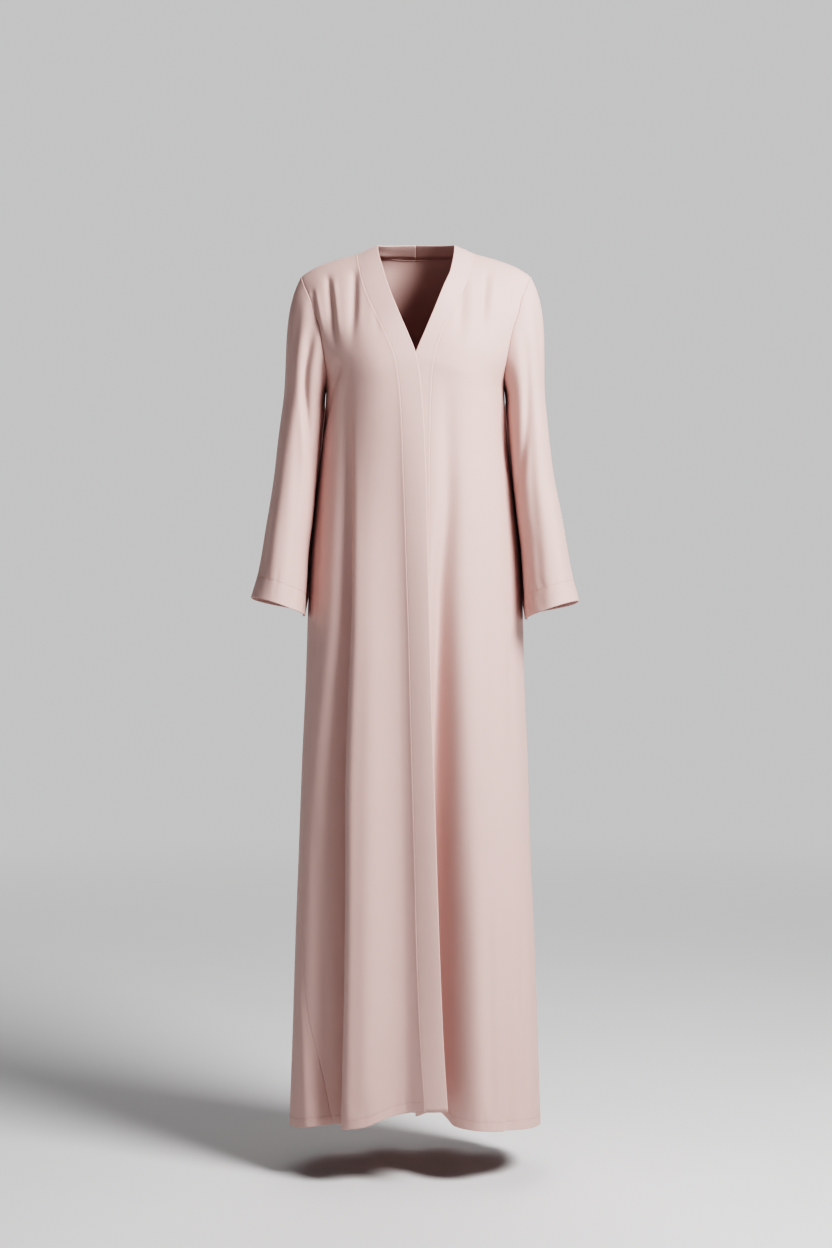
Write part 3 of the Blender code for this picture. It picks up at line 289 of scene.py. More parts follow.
# Short folds that fall from the shoulders and end at the bust, straight from top to low end
TUCK_COLUMNS = "top_across top_height low_across low_height depth width"
TUCKS = {
    "front_right": table(
        TUCK_COLUMNS,
        (-146, -10, -131, -150, 5, 9), (-101, 0, -103, -150, 3.2, 10),
    ),
    "front_left": table(
        TUCK_COLUMNS,
        (77, -10, 71, -140, 2.2, 10), (118, -5, 108, -135, 2.6, 10),
    ),
    "back": table(
        TUCK_COLUMNS,
        (-95, -10, -88, -170, 3, 12), (105, -10, 92, -160, 2.8, 12),
    ),
}

# The bust of a general figure: how far out, how high, how proud and how wide
BUST_ACROSS = 0.088
BUST_HEIGHT = -0.148
BUST_PROUD = 0.008
BUST_WIDTH = 0.048
BUST_RISE = 0.045
BUST_FALL = 0.110
print({piece: len(folds) for piece, folds in FOLDS.items()}, "large folds")

# %% [markdown]
# A sleeve is set into the armhole, drops over the upper arm and hangs beside the body. Its rings
# tilt, and its back half tucks in behind the body, which closes the gap that would otherwise show.

# %% Sleeves
# Sleeve sections from the upper arm to the cuff, for the wearer's right and left arm: how far out
# and back the middle lies, half its width and depth, its tilt outwards and forwards, and how far
# its back reaches behind and tucks in behind the body
ARM_RIGHT = table(
    "height out back half_width half_depth tilt_out* tilt_front* behind tuck",
    (-240, 185.2, 4, 35.2, 69, 15, 0, 24, 30), (-300, 192.5, -4, 35.8, 68, 16, 1, 30, 40),
    (-355, 198.3, -10, 36, 67, 17, 2, 34, 43), (-410, 205, -16, 37.4, 67, 17, 3.5, 35, 43),
    (-454, 211.6, -21, 38.2, 67, 17.5, 5, 33, 42), (-513.5, 218.3, -28, 41.4, 68, 18, 6.5, 26, 38),
    (-562.7, 226.2, -36, 46.9, 69, 18, 7.6, 18, 34),
)
ARM_LEFT = table(
    "height out back half_width half_depth tilt_out* tilt_front* behind tuck",
    (-240, 181.2, 4, 33.6, 69, 15, 0, 24, 30), (-300, 187, -4, 33.8, 68, 16, 1, 30, 39),
    (-355, 193, -10, 34.7, 67, 17, 2, 34, 42), (-410, 201.2, -16, 37.1, 67, 17, 3.5, 35, 43),
    (-454, 208.2, -21, 38.2, 67, 17.5, 5, 33, 42), (-513.5, 215.2, -28, 41.4, 68, 18, 6.5, 26, 38),
    (-568.7, 223.1, -36, 47, 69, 18, 7.6, 18, 34),
)

# How the sleeve leaves the armhole, at points round it from the shoulder over the front: the
# direction out, forward and down, and how far that direction carries
SLEEVE_CAP = table(
    "turn* out* forward* down* reach",
    (0, 0.5, 0, 0.85, 200), (45, 0.62, 0.28, 0.75, 150), (90, 0.62, 0.3, 0.75, 110),
    (135, 0.45, 0.2, 0.85, 75), (180, 0.25, 0, 0.95, 45), (225, 0.45, -0.2, 0.85, 75),
    (270, 0.62, -0.3, 0.75, 110), (315, 0.62, -0.28, 0.75, 150), (360, 0.5, 0, 0.85, 200),
)

# Folds of the sleeves: a valley, or a ridge where the depth is negative, by degrees round the arm
SLEEVE_VALLEY_RIGHT = table(
    "height turn* depth width",
    (-40, 52, 0, 11), (-115, 74, 8, 11), (-205, 90, 9.5, 11), (-270, 112, 8, 11),
    (-345, 150, 0, 11),
)
SLEEVE_RIDGE_RIGHT = table(
    "height turn* depth width",
    (-50, 90, 0, 12), (-130, 112, -4, 12), (-210, 126, -4.5, 12), (-290, 150, 0, 12),
)
SLEEVE_VALLEY_LEFT = table(
    "height turn* depth width",
    (-60, 58, 0, 12), (-150, 76, 4.5, 12), (-260, 96, 6, 12), (-330, 122, 5, 12),
    (-395, 160, 0, 12),
)
SLEEVE_VALLEY_BACK = table(
    "height turn* depth width",
    (-130, 262, 0, 14), (-290, 248, 6, 14), (-430, 238, 0, 14),
)
SLEEVE_FOLDS = {
    "sleeve_right": (SLEEVE_VALLEY_RIGHT, SLEEVE_RIDGE_RIGHT, SLEEVE_VALLEY_BACK),
    "sleeve_left": (SLEEVE_VALLEY_LEFT, SLEEVE_VALLEY_BACK),
}
print("sleeves end at", ARM_RIGHT[-1].height, ARM_LEFT[-1].height)

# %% [markdown]
# A table becomes a smooth line that never overshoots its own points. Everything here works on whole
# arrays of points at once, so a panel of twenty thousand points takes a moment.

# %% Lines through the tables
class Line:
    """A smooth line through one named column of a table, read along another column."""

    def __init__(self, rows, along, column):
        points = np.array(sorted((getattr(row, along), getattr(row, column)) for row in rows))
        self.places, self.values = points.T
        steps = np.diff(self.places)
        slopes = np.diff(self.values) / steps
        self.tangents = np.zeros(len(points))
        self.tangents[[0, -1]] = slopes[[0, -1]]
        for i in range(1, len(points) - 1):
            if slopes[i - 1] * slopes[i] > 0.0:
                before = 2.0 * steps[i] + steps[i - 1]
                after = steps[i] + 2.0 * steps[i - 1]
                self.tangents[i] = (before + after) / (before / slopes[i - 1] + after / slopes[i])

    def __call__(self, place):
        place = np.clip(place, self.places[0], self.places[-1])
        i = np.clip(np.searchsorted(self.places, place, side="right") - 1, 0, len(self.places) - 2)
        step = self.places[i + 1] - self.places[i]
        t = (place - self.places[i]) / step
        start = (1.0 + 2.0 * t) * (1.0 - t) ** 2 * self.values[i]
        start = start + t * (1.0 - t) ** 2 * step * self.tangents[i]
        end = t * t * (3.0 - 2.0 * t) * self.values[i + 1]
        return start + end + t * t * (t - 1.0) * step * self.tangents[i + 1]


def lines(rows, along):
    """Every other column of a table as a Line, by its name."""
    return {name: Line(rows, along, name) for name in rows[0]._fields if name != along}


SECTION = lines(SECTIONS, "height")
SHOULDER = Line(SHOULDER_LINE, "out", "height")
ROUNDING = lines([row._replace(drop=math.sqrt(row.drop)) for row in SHOULDER_ROUNDING], "drop")
SIDE = lines(SIDE_SEAM, "height")
SEAM = lines(BAND_SEAM, "height")
EDGE = lines(BAND_EDGE, "height")
FOLD_LINES = {piece: [lines(fold, "height") for fold in folds] for piece, folds in FOLDS.items()}
CREASE_LINES = {
    piece: [lines(fold, "height") for fold in folds] for piece, folds in SLEEVE_FOLDS.items()
}
print("half width at the hem", float(SECTION["left"](HEM_AT_SIDE)))

# %% [markdown]
# `torso` gives a point of the plain form from an angle round it and a height, and `outward` the level
# direction out of it. The folds then sink the cloth along that direction.

# %% The plain form
def mix(a, b, t):
    return a + (b - a) * t


def ease(t):
    """Smooth step from 0 to 1."""
    t = np.clip(t, 0.0, 1.0)
    return t * t * (3.0 - 2.0 * t)


def unit(vectors):
    return vectors / np.linalg.norm(vectors, axis=-1, keepdims=True)


def half_width(angle, height):
    return np.where(angle > 0.0, SECTION["left"](height), SECTION["right"](height))


def torso(angle, height):
    """A point of the plain garment form, at an angle in degrees from the middle of the front."""
    turn = np.radians(angle)
    across = half_width(angle, height) * np.sin(turn)
    to_front = np.cos(turn) >= 0.0
    drop = np.sqrt(np.maximum(SHOULDER(np.abs(across)) - height, 0.0))
    middle = SECTION["middle"](height)
    ahead = SECTION["front"](height) * ROUNDING["front"](drop) + middle
    behind = SECTION["back"](height) * ROUNDING["back"](drop) - middle
    power = np.where(to_front, SECTION["front_power"](height), SECTION["back_power"](height))
    share = np.abs(np.cos(turn)) ** power
    deep = np.where(to_front, middle - ahead * share, middle + behind * share)
    return np.stack(np.broadcast_arrays(across, deep, height), axis=-1)


def outward(angle, height):
    """The level direction out of the section."""
    turn = np.radians(angle)
    deep = np.where(np.cos(turn) >= 0.0, SECTION["front"](height), SECTION["back"](height))
    x = np.sin(turn) / half_width(angle, height)
    return unit(np.stack([x, -np.cos(turn) / deep, np.zeros_like(x)], axis=-1))


def angle_at(across, height, piece):
    """The angle at which a piece lies this far across."""
    half = np.where(across > 0.0, SECTION["left"](height), SECTION["right"](height))
    turn = np.degrees(np.arcsin(np.clip(across / half, -1.0, 1.0)))
    return 180.0 - turn if piece == "back" else turn


print("middle of the front at the underarm", np.round(torso(0.0, UNDERARM), 3))


# %% [markdown]
# ## Folds and creases
#
# The large folds start where the walls have theirs and go deeper, as thin cloth does. The small ones
# are strokes: a crease is drawn as a few points across and down the cloth, with its depth and width,
# and fades in and out along its length. On a sleeve, across is in degrees round the arm. A negative
# depth is a ridge. They are placed where the cloth drags from the shoulders, the bust and the
# armholes, and no two are alike.

# %% Strokes for the small creases
Stroke = namedtuple("Stroke", "points depth width rise fall")


def strokes(unit, *rows):
    """Each row is one crease: its depth and width in millimetres, the shares of its length over which
    it fades in and out, then its places, across and down in turn."""
    made = []
    for depth, width, rise, fall, *places in rows:
        points = [(a / unit, b / MILLIMETRES) for a, b in zip(places[::2], places[1::2])]
        made.append(Stroke(points, depth / MILLIMETRES, width / MILLIMETRES, rise, fall))
    return made


STROKES = {
    "front_right": strokes(
        MILLIMETRES,
        (3, 6.5, 0.25, 0.4, -171, -40, -163, -90, -152, -140),
        (-1.6, 6, 0.3, 0.4, -164, -34, -156, -80, -146, -130),
        (2.6, 6, 0.15, 0.35, -146, -18, -140, -80, -131, -145),
        (-1.8, 7, 0.2, 0.35, -134, -20, -128, -80, -121, -135),
        (2.6, 7, 0.15, 0.4, -101, -10, -102, -70, -104, -135),
        (-1.2, 7, 0.2, 0.4, -90, -16, -90, -70, -92, -120),
        (1.2, 6, 0.3, 0.4, -68, -50, -64, -90, -61, -125),
        (3.5, 14, 0.35, 0.6, -122, -158, -130, -180, -134, -200),
        (2.8, 8, 0.2, 0.5, -123, -153, -140, -225, -155, -290, -163, -360),
        (-1.8, 11, 0.2, 0.5, -114, -160, -128, -230, -138, -300, -142, -380),
        (3, 10, 0.35, 0.5, -154, -330, -160, -450, -164, -600, -168, -760),
        (-3.6, 13, 0.25, 0.02, -100, -240, -96, -550, -101, -720, -105, -860, -112, -1420),
        (-3.2, 20, 0.3, 0.05, -82, -300, -80, -600, -81, -900, -86, -1405),
        (3, 10, 0.35, 0.1, -168, -860, -172, -1080, -176, -1410),
    ),
    "front_left": strokes(
        MILLIMETRES,
        (2, 7.5, 0.2, 0.45, 77, -14, 74, -70, 71, -125),
        (-1, 8, 0.25, 0.45, 92, -20, 90, -70, 88, -120),
        (2.2, 7, 0.2, 0.45, 117, -10, 112, -60, 107, -115),
        (-1, 7, 0.25, 0.45, 128, -16, 122, -65, 117, -110),
        (1.8, 7, 0.3, 0.45, 158, -28, 150, -80, 143, -130),
        (2, 11, 0.3, 0.5, 120, -165, 135, -235, 146, -310, 152, -400),
        (-1.2, 9, 0.3, 0.5, 136, -190, 146, -260, 153, -340),
        (1.8, 16, 0.4, 0.4, 112, -420, 112, -620, 108, -860),
        (2.2, 11, 0.4, 0.4, 150, -520, 155, -700, 158, -900),
        (-2.4, 17, 0.4, 0.1, 94, -900, 98, -1150, 103, -1405),
        (1.8, 10, 0.4, 0.1, 118, -980, 121, -1180, 125, -1400),
        (2.2, 9, 0.4, 0.1, 172, -1000, 175, -1200, 177, -1410),
    ),
    "back": strokes(
        MILLIMETRES,
        (3, 9, 0.25, 0.45, -150, -50, -138, -110, -120, -190),
        (2.2, 10, 0.2, 0.45, -112, -22, -104, -100, -96, -200),
        (1.6, 11, 0.25, 0.5, -60, -30, -56, -110, -54, -210),
        (1.8, 11, 0.25, 0.5, 40, -20, 46, -110, 50, -230),
        (2.2, 10, 0.2, 0.45, 100, -20, 94, -100, 86, -200),
        (3.2, 9, 0.25, 0.45, 148, -48, 140, -110, 126, -200),
        (3, 12, 0.25, 0.45, -128, -200, -126, -330, -122, -520),
        (2.8, 12, 0.25, 0.45, 128, -200, 128, -350, 122, -560),
        (-2.6, 16, 0.35, 0.35, -36, -420, -40, -700, -46, -1080),
        (2.4, 13, 0.35, 0.35, 34, -340, 36, -640, 34, -1020),
        (5, 15, 0.35, 0.05, -140, -620, -148, -950, -158, -1440),
        (-3, 15, 0.35, 0.05, 124, -700, 128, -1000, 134, -1440),
        (4, 13, 0.35, 0.05, 28, -900, 30, -1150, 32, -1440),
    ),
    "sleeve_right": strokes(
        DEGREES,
        (3, 9, 0.2, 0.5, 20, -50, 38, -110, 46, -190, 58, -290),
        (2.6, 10, 0.25, 0.5, 96, -90, 112, -150, 130, -215),
        (3.2, 14, 0.35, 0.4, 72, -180, 86, -270, 100, -370, 108, -480),
        (-2.6, 14, 0.35, 0.2, 52, -260, 58, -380, 70, -540),
        (2.6, 10, 0.35, 0.15, 110, -420, 118, -500, 124, -565),
        (2.2, 11, 0.35, 0.2, 30, -400, 34, -480, 36, -540),
        (3.2, 10, 0.2, 0.5, 330, -60, 312, -140, 300, -230),
        (3.4, 9, 0.25, 0.5, 268, -100, 284, -180, 306, -250),
        (3.2, 8.5, 0.35, 0.45, 240, -300, 272, -340, 304, -350),
        (2.6, 8, 0.35, 0.45, 236, -350, 268, -384, 296, -400),
        (3, 11, 0.35, 0.1, 292, -380, 288, -460, 282, -560),
    ),
    "sleeve_left": strokes(
        DEGREES,
        (2.4, 9, 0.2, 0.5, 16, -50, 30, -120, 38, -210),
        (2.4, 10, 0.25, 0.5, 96, -80, 112, -140, 130, -205),
        (3.4, 13, 0.35, 0.35, 66, -140, 78, -230, 94, -330, 106, -430, 112, -520),
        (-1.6, 12, 0.3, 0.45, 48, -160, 58, -260, 66, -380),
        (-2.2, 14, 0.35, 0.15, 50, -330, 56, -430, 64, -550),
        (2.2, 10, 0.35, 0.15, 108, -440, 112, -510, 116, -570),
        (3, 10, 0.2, 0.5, 328, -60, 314, -150, 304, -250),
        (3.2, 9, 0.25, 0.5, 264, -110, 282, -190, 300, -270),
        (3.2, 8.5, 0.35, 0.45, 238, -310, 268, -356, 300, -372),
        (2.8, 11, 0.35, 0.1, 290, -400, 284, -480, 280, -570),
    ),
}
STROKE_STEPS = 18


def stroke_sink(spots, stroke, to_spots):
    """How deep one stroke sinks the cloth at each spot, both laid out flat in metres."""
    rows = [(float(k), *point) for k, point in enumerate(stroke.points)]
    Point = namedtuple("Point", "k a b")
    table = [Point(*row) for row in rows]
    ks = np.linspace(0.0, len(rows) - 1.0, STROKE_STEPS + 1)
    path = to_spots(Line(table, "k", "a")(ks), Line(table, "k", "b")(ks))
    starts, runs = path[:-1], np.diff(path, axis=0)
    away = spots[..., None, :] - starts
    t = np.clip((away * runs).sum(-1) / (runs * runs).sum(-1), 0.0, 1.0)
    distance = np.linalg.norm(away - t[..., None] * runs, axis=-1)
    nearest = distance.argmin(-1)[..., None]
    t = np.take_along_axis(t, nearest, -1)[..., 0]
    distance = np.take_along_axis(distance, nearest, -1)[..., 0]
    run = (nearest[..., 0] + t) / STROKE_STEPS
    fade = ease(run / stroke.rise) * ease((1.0 - run) / stroke.fall)
    return stroke.depth * fade * np.exp(-((distance / stroke.width) ** 2))


print(sum(len(rows) for rows in STROKES.values()), "small creases")


# %% [markdown]
# `cloth` puts it together: the plain form, the large folds, the tucks in the yoke, the small strokes,
# the bust of a general figure, and the lift of the lap. Folds die away at the shoulder and armhole
# seams, where the stitching holds the cloth smooth.

# %% The worn cloth
SEAM_HOLD = 0.030


def laid_flat(piece):
    """Turns places across and down a body piece into spots laid out flat round the form."""
    sign = -1.0 if piece == "back" else 1.0

    def flat(across, height):
        half = np.where(across > 0.0, SECTION["left"](height), SECTION["right"](height))
        turn = np.arcsin(np.clip(across / half, -1.0, 1.0))
        return np.stack([sign * turn * half, height], axis=-1)

    return flat


def fold_shift(piece, angle, height):
    """How far the folds move a point inwards and sideways."""
    sink = np.zeros_like(angle)
    slide = np.zeros_like(angle)
    half = half_width(angle, height)
    for fold in FOLD_LINES[piece]:
        centre = fold["centre"](height)
        apart = (angle - angle_at(centre, height, piece) + 180.0) % 360.0 - 180.0
        away = np.radians(-apart if piece == "back" else apart) * half
        width = np.where(away * centre < 0.0, fold["inner"](height), fold["outer"](height))
        share = np.exp(-((away / width) ** 2))
        sink += fold["depth"](height) * share
        slide -= np.copysign(fold["lean"](height) * share, centre)
    for tuck in TUCKS[piece]:
        run = np.clip((tuck.top_height - height) / (tuck.top_height - tuck.low_height), 0.0, 1.0)
        centre = mix(tuck.top_across, tuck.low_across, run)
        away = half * np.sin(np.radians(angle)) - centre
        sink += tuck.depth * np.exp(-((away / tuck.width) ** 2)) * np.sin(math.pi * run)
    turn = np.radians(np.where(angle > 0.0, 180.0 - angle, -180.0 - angle) if piece == "back" else angle)
    sign = -1.0 if piece == "back" else 1.0
    spots = np.stack([sign * turn * half, height], axis=-1)
    for stroke in STROKES[piece]:
        sink += stroke_sink(spots, stroke, laid_flat(piece))
    return sink, slide


def bust(across, height):
    """How far the bust of a general figure carries the cloth forward."""
    reach = np.where(height > BUST_HEIGHT, BUST_RISE, BUST_FALL)
    share = np.exp(-(((np.abs(across) - BUST_ACROSS) / BUST_WIDTH) ** 2))
    return BUST_PROUD * share * np.exp(-(((height - BUST_HEIGHT) / reach) ** 2))


def seam_fade(angle, height):
    """Folds die away at the armhole and the shoulder seam, and stay whole in the skirt."""
    drop = SHOULDER(np.abs(torso(angle, height)[..., 0])) - height
    return np.where(height < UNDERARM, 1.0, ease(drop / SEAM_HOLD))


def cloth(piece, angle, height, lift=0.0):
    """A point of the worn cloth: the plain form with its folds, the bust, and the lap's lift."""
    angle, height = np.broadcast_arrays(np.asarray(angle, float), np.asarray(height, float))
    points = torso(angle, height)
    normal = outward(angle, height)
    tangent = np.stack([-normal[..., 1], normal[..., 0], np.zeros_like(angle)], axis=-1)
    if piece == "back":
        tangent = -tangent
    sink, slide = fold_shift(piece, angle, height)
    fade = seam_fade(angle, height)
    points = points + normal * (lift - sink * fade)[..., None] + tangent * (slide * fade)[..., None]
    if piece != "back":
        points[..., 1] -= bust(points[..., 0], height) * fade
    return points


def lap_lift(height, from_seam):
    """How far the right front stands off the left one, at a distance past the band's seam."""
    down = ease((LAP_TOP - height) / (LAP_TOP - LAP_WHOLE))
    return LAP_LIFT * down * (1.0 - ease((from_seam - LAP_FULL) / LAP_FADE))


print("the lap stands off", float(lap_lift(UNDERARM, 0.0)), "at the underarm")

# %% [markdown]
# ## The panels
#
# Each front is a grid of rows and columns: the yoke's rows run from the band's seam to the armhole,
# and the skirt's rows from the band's seam to the side seam. A panel cut this way hangs on its own
# seams, so its neighbour can be built on the same edge.

# %% Armholes and hems
ARMHOLE_STEPS = 2000
HEM_ROUNDS = 8


def armhole(rows, side):
    """Angles and heights of the armhole, evenly spaced from the shoulder to the underarm."""
    heights = np.linspace(rows[0].height, rows[-1].height, ARMHOLE_STEPS)
    angles = Line(rows, "height", "angle")(heights) * side
    steps = np.linalg.norm(np.diff(torso(angles, heights), axis=0), axis=1)
    travelled = np.concatenate([[0.0], np.cumsum(steps)])
    even = np.linspace(0.0, travelled[-1], YOKE_ROWS + 1)
    return np.stack([np.interp(even, travelled, angles), np.interp(even, travelled, heights)], axis=-1)


def front_hem(side, across):
    return Line(HEM_RIGHT if side == "right" else HEM_LEFT, "across", "height")(across)


def hem_ends(side):
    """Height of the hem at the band's seam, and angle and height of the hem at the side seam."""
    sign = -1.0 if side == "right" else 1.0
    at_band = at_side = HEM_AT_SIDE
    for _ in range(HEM_ROUNDS):
        at_band = front_hem(side, SEAM[side](at_band))
        at_side = front_hem(side, torso(sign * SIDE[side](at_side), at_side)[..., 0])
    return float(at_band), sign * float(SIDE[side](at_side)), float(at_side)


print("hem at the band and the side seam", hem_ends("right"), hem_ends("left"))


def column_turns(piece, columns, start, end, height):
    """Angles of the columns at one height, from start to end, with some of them on the folds."""
    level = min(height, UNDERARM)
    half = 0.5 * (SECTION["right"](level) + SECTION["left"](level))
    marks = [0] + [guide.column for guide in GUIDES[piece]] + [columns]
    turns = [FOLD_LINES[piece][guide.fold][guide.line](level) for guide in GUIDES[piece]]
    turns = [start[1]] + [math.degrees(math.asin(across / half)) for across in turns] + [end[1]]
    share = (np.interp(range(columns + 1), marks, turns) - start[1]) / (end[1] - start[1])
    return mix(start[0], end[0], share)


# %% The fronts
def front_points(side):
    piece = "front_" + side
    sign = -1.0 if side == "right" else 1.0
    arm = armhole(ARMHOLE_FRONT, sign)
    low_start = float(angle_at(SEAM[side](UNDERARM), UNDERARM, piece))
    low_end = sign * float(SIDE[side](UNDERARM))
    places = []
    for r in range(YOKE_ROWS + 1):
        inner_height = mix(BAND_SEAM[0].height, UNDERARM, (r / YOKE_ROWS) ** YOKE_CROWDING)
        inner_across = SEAM[side](inner_height)
        inner = float(angle_at(inner_across, inner_height, piece))
        outer, outer_height = arm[r]
        turns = column_turns(piece, FRONT_COLUMNS, (inner, low_start), (outer, low_end), UNDERARM)
        shares = (turns - inner) / (outer - inner)
        heights = mix(inner_height, outer_height, shares)
        across = np.abs(torso(turns, heights)[:, 0])
        tip = abs(torso(outer, outer_height)[0])
        chord = mix(SHOULDER(abs(inner_across)), SHOULDER(tip), shares)
        heights = heights + (SHOULDER(across) - chord) * (1.0 - ease(r / SHOULDER_ROWS))
        places.append((turns, heights, across - abs(inner_across)))
    band_hem, side_turn, side_hem = hem_ends(side)
    level = 0.5 * (band_hem + side_hem)
    start = float(angle_at(SEAM[side](band_hem), band_hem, piece))
    turns = column_turns(piece, FRONT_COLUMNS, (start, start), (side_turn, side_turn), level)
    hem = front_hem(side, torso(turns, level)[:, 0])
    hem[0], hem[-1] = band_hem, side_hem
    for r in range(1, SKIRT_ROWS + 1):
        down = r / SKIRT_ROWS
        band_level = mix(UNDERARM, band_hem, down)
        side_level = mix(UNDERARM, side_hem, down)
        inner = float(angle_at(SEAM[side](band_level), band_level, piece))
        outer = sign * float(SIDE[side](side_level))
        level = 0.5 * (band_level + side_level)
        turns = column_turns(piece, FRONT_COLUMNS, (inner, inner), (outer, outer), level)
        heights = mix(UNDERARM, hem, down)
        past = np.abs(torso(turns, heights)[:, 0] - SEAM[side](band_level))
        places.append((turns, heights, past))
    angle, height, past = (np.array([place[k] for place in places]) for k in range(3))
    return cloth(piece, angle, height, lap_lift(height, past) if side == "right" else 0.0 * height)


right = front_points("right")
left = front_points("left")
print("fronts", right.shape, left.shape)


# %% [markdown]
# The back takes its side edges from the fronts, so the side seams close exactly. Its top edge is the
# shoulder seams with the curve of the back neck between them.

# %% The back
# The hem of the back is level over the middle and rises to the side seams
HEM_LEVEL_TURN = 30.0
HEM_RISE_TURN = 60.0


def back_angle(turn):
    return np.where(turn > 0.0, 180.0 - turn, -180.0 - turn)


def back_points(side_right, side_left):
    columns = 2 * SHOULDER_COLUMNS + NECK_COLUMNS
    arms = [armhole(ARMHOLE_BACK, side) for side in (-1.0, 1.0)]
    tip = abs(torso(*arms[0][0])[0])
    neck = NECK_SEAM[-1].out
    top_across = np.concatenate([
        np.linspace(-tip, -neck, SHOULDER_COLUMNS + 1)[:-1],
        np.linspace(-neck, neck, NECK_COLUMNS + 1),
        np.linspace(neck, tip, SHOULDER_COLUMNS + 1)[1:],
    ])
    out = np.abs(top_across)
    top = np.where(out < neck, Line(NECK_SEAM, "out", "height")(out), SHOULDER(out))
    top_turn = np.degrees(np.arcsin(top_across / SECTION["left"](top)))
    share = np.arange(columns + 1) / columns
    edge = np.abs(2.0 * share - 1.0) ** 3
    angles, heights = [], []
    for r in range(YOKE_ROWS + SKIRT_ROWS + 1):
        if r <= YOKE_ROWS:
            ends = (arms[0][r], arms[1][r])
        else:
            down = (r - YOKE_ROWS) / SKIRT_ROWS
            levels = [mix(UNDERARM, rim[-1][2], down) for rim in (side_right, side_left)]
            ends = ((-SIDE["right"](levels[0]), levels[0]), (SIDE["left"](levels[1]), levels[1]))
        first, last = -180.0 - ends[0][0], 180.0 - ends[1][0]
        level = UNDERARM if r <= YOKE_ROWS else 0.5 * (ends[0][1] + ends[1][1])
        low = (-180.0 + SIDE["right"](level), 180.0 - SIDE["left"](level))
        turns = column_turns("back", columns, (first, low[0]), (last, low[1]), level)
        if r <= YOKE_ROWS:
            down = (r / YOKE_ROWS) ** YOKE_CROWDING
            turns = mix(top_turn, turns, ease(r / YOKE_ROWS))
            drop = mix(ends[0][1], ends[1][1], share) - mix(SHOULDER(tip), UNDERARM, down)
            heights.append(mix(top, UNDERARM, down) + drop * edge)
        else:
            hem = mix(HEM_AT_BACK, HEM_AT_SIDE, ease((np.abs(turns) - HEM_LEVEL_TURN) / HEM_RISE_TURN))
            end_heights = mix(ends[0][1], ends[1][1], share)
            heights.append(mix(mix(UNDERARM, hem, down), end_heights, edge ** 2))
        angles.append(back_angle(turns))
    grid = cloth("back", np.array(angles), np.array(heights))
    grid[YOKE_ROWS:, 0] = side_right[YOKE_ROWS:]
    grid[YOKE_ROWS:, -1] = side_left[YOKE_ROWS:]
    return grid


back = back_points(right[:, -1], left[:, -1])
print("back", back.shape)


# %% [markdown]
# A band is a doubled strip about 36 mm wide. It starts at the hem, goes up the front, makes one side
# of the V, passes over the shoulder, and meets the other band at the middle of the back neck.

# %% The bands
def band_points(side, front):
    sign = -1.0 if side == "right" else 1.0
    rim = front[:, 0]
    run = unit(np.gradient(rim, axis=0))
    r = np.arange(len(rim))
    back_rise = NECK_EDGE[-1].height - NECK_SEAM[-1].height
    rise = mix(back_rise, -sign * run[:, 0] * BAND_WIDTH, ease(r / BAND_TURN_ROWS))
    edge_height = rim[:, 2] + rise
    t = np.arange(BAND_COLUMNS + 1) / BAND_COLUMNS
    across = mix(rim[:, :1], EDGE[side](edge_height)[:, None], t)
    height = mix(rim[:, 2:], edge_height[:, None], t)
    angle = np.degrees(np.arcsin(across / SECTION[side](height)))
    # Under the lap the left band follows the folds of the right front
    under = fold_shift("front_right", angle, height)[0]
    lift = lap_lift(height, 0.0) if side == "right" else -under
    front_part = torso(angle, height) + outward(angle, height) * lift[..., None]
    front_part[..., 1] -= bust(front_part[..., 0], height) * seam_fade(angle, height)
    front_part += (rim - front_part[:, 0])[:, None] * ((1.0 - t) ** BAND_SETTLE)[None, :, None]
    left = 1.0 - np.arange(1, NECK_COLUMNS // 2 + 1) / (NECK_COLUMNS // 2)
    ends = []
    for rows in (NECK_SEAM, NECK_EDGE):
        out = rows[-1].out * left
        level = Line(rows, "out", "height")(out)
        turn = np.degrees(np.arcsin(sign * out / SECTION["left"](level)))
        turn = np.where(out == 0.0, sign * 1e-6, turn)
        ends.append(cloth("back", back_angle(turn), level))
    neck_part = mix(ends[0][:, None], ends[1][:, None], t[None, :, None])
    return np.concatenate([front_part[::-1], neck_part])


grids = {
    "front_right": right,
    "front_left": left,
    "back": back,
    "band_right": band_points("right", right),
    "band_left": band_points("left", left),
}
print("bands", grids["band_right"].shape, grids["band_left"].shape)


# %% [markdown]
# The sleeve leaves the armhole along a smooth curve for each point round it, then goes down ring by
# ring. Its creases are drawn with degrees round the arm from the outer side over the front.

# %% The sleeves
def arm_point(arm, turn, height, side):
    """A point of the plain sleeve, at degrees round the arm from its outer side over the front."""
    turn = np.radians(turn)
    out_tilt = np.radians(arm["tilt_out"](height))
    front_tilt = np.radians(arm["tilt_front"](height))
    hind = np.maximum(-np.sin(turn), 0.0)
    wide = arm["half_width"](height) * np.cos(turn)
    deep = arm["half_depth"](height) * np.sin(turn) - arm["behind"](height) * hind ** 2
    out = arm["out"](height) + wide * np.cos(out_tilt) - arm["tuck"](height) * hind ** 4
    back = arm["back"](height) - deep * np.cos(front_tilt)
    level = height + wide * np.sin(out_tilt) + deep * np.sin(front_tilt)
    return np.stack(np.broadcast_arrays(side * out, back, level), axis=-1)


def arm_spots(turn, height):
    return np.stack([np.radians(turn) * ARM_RADIUS, height], axis=-1)


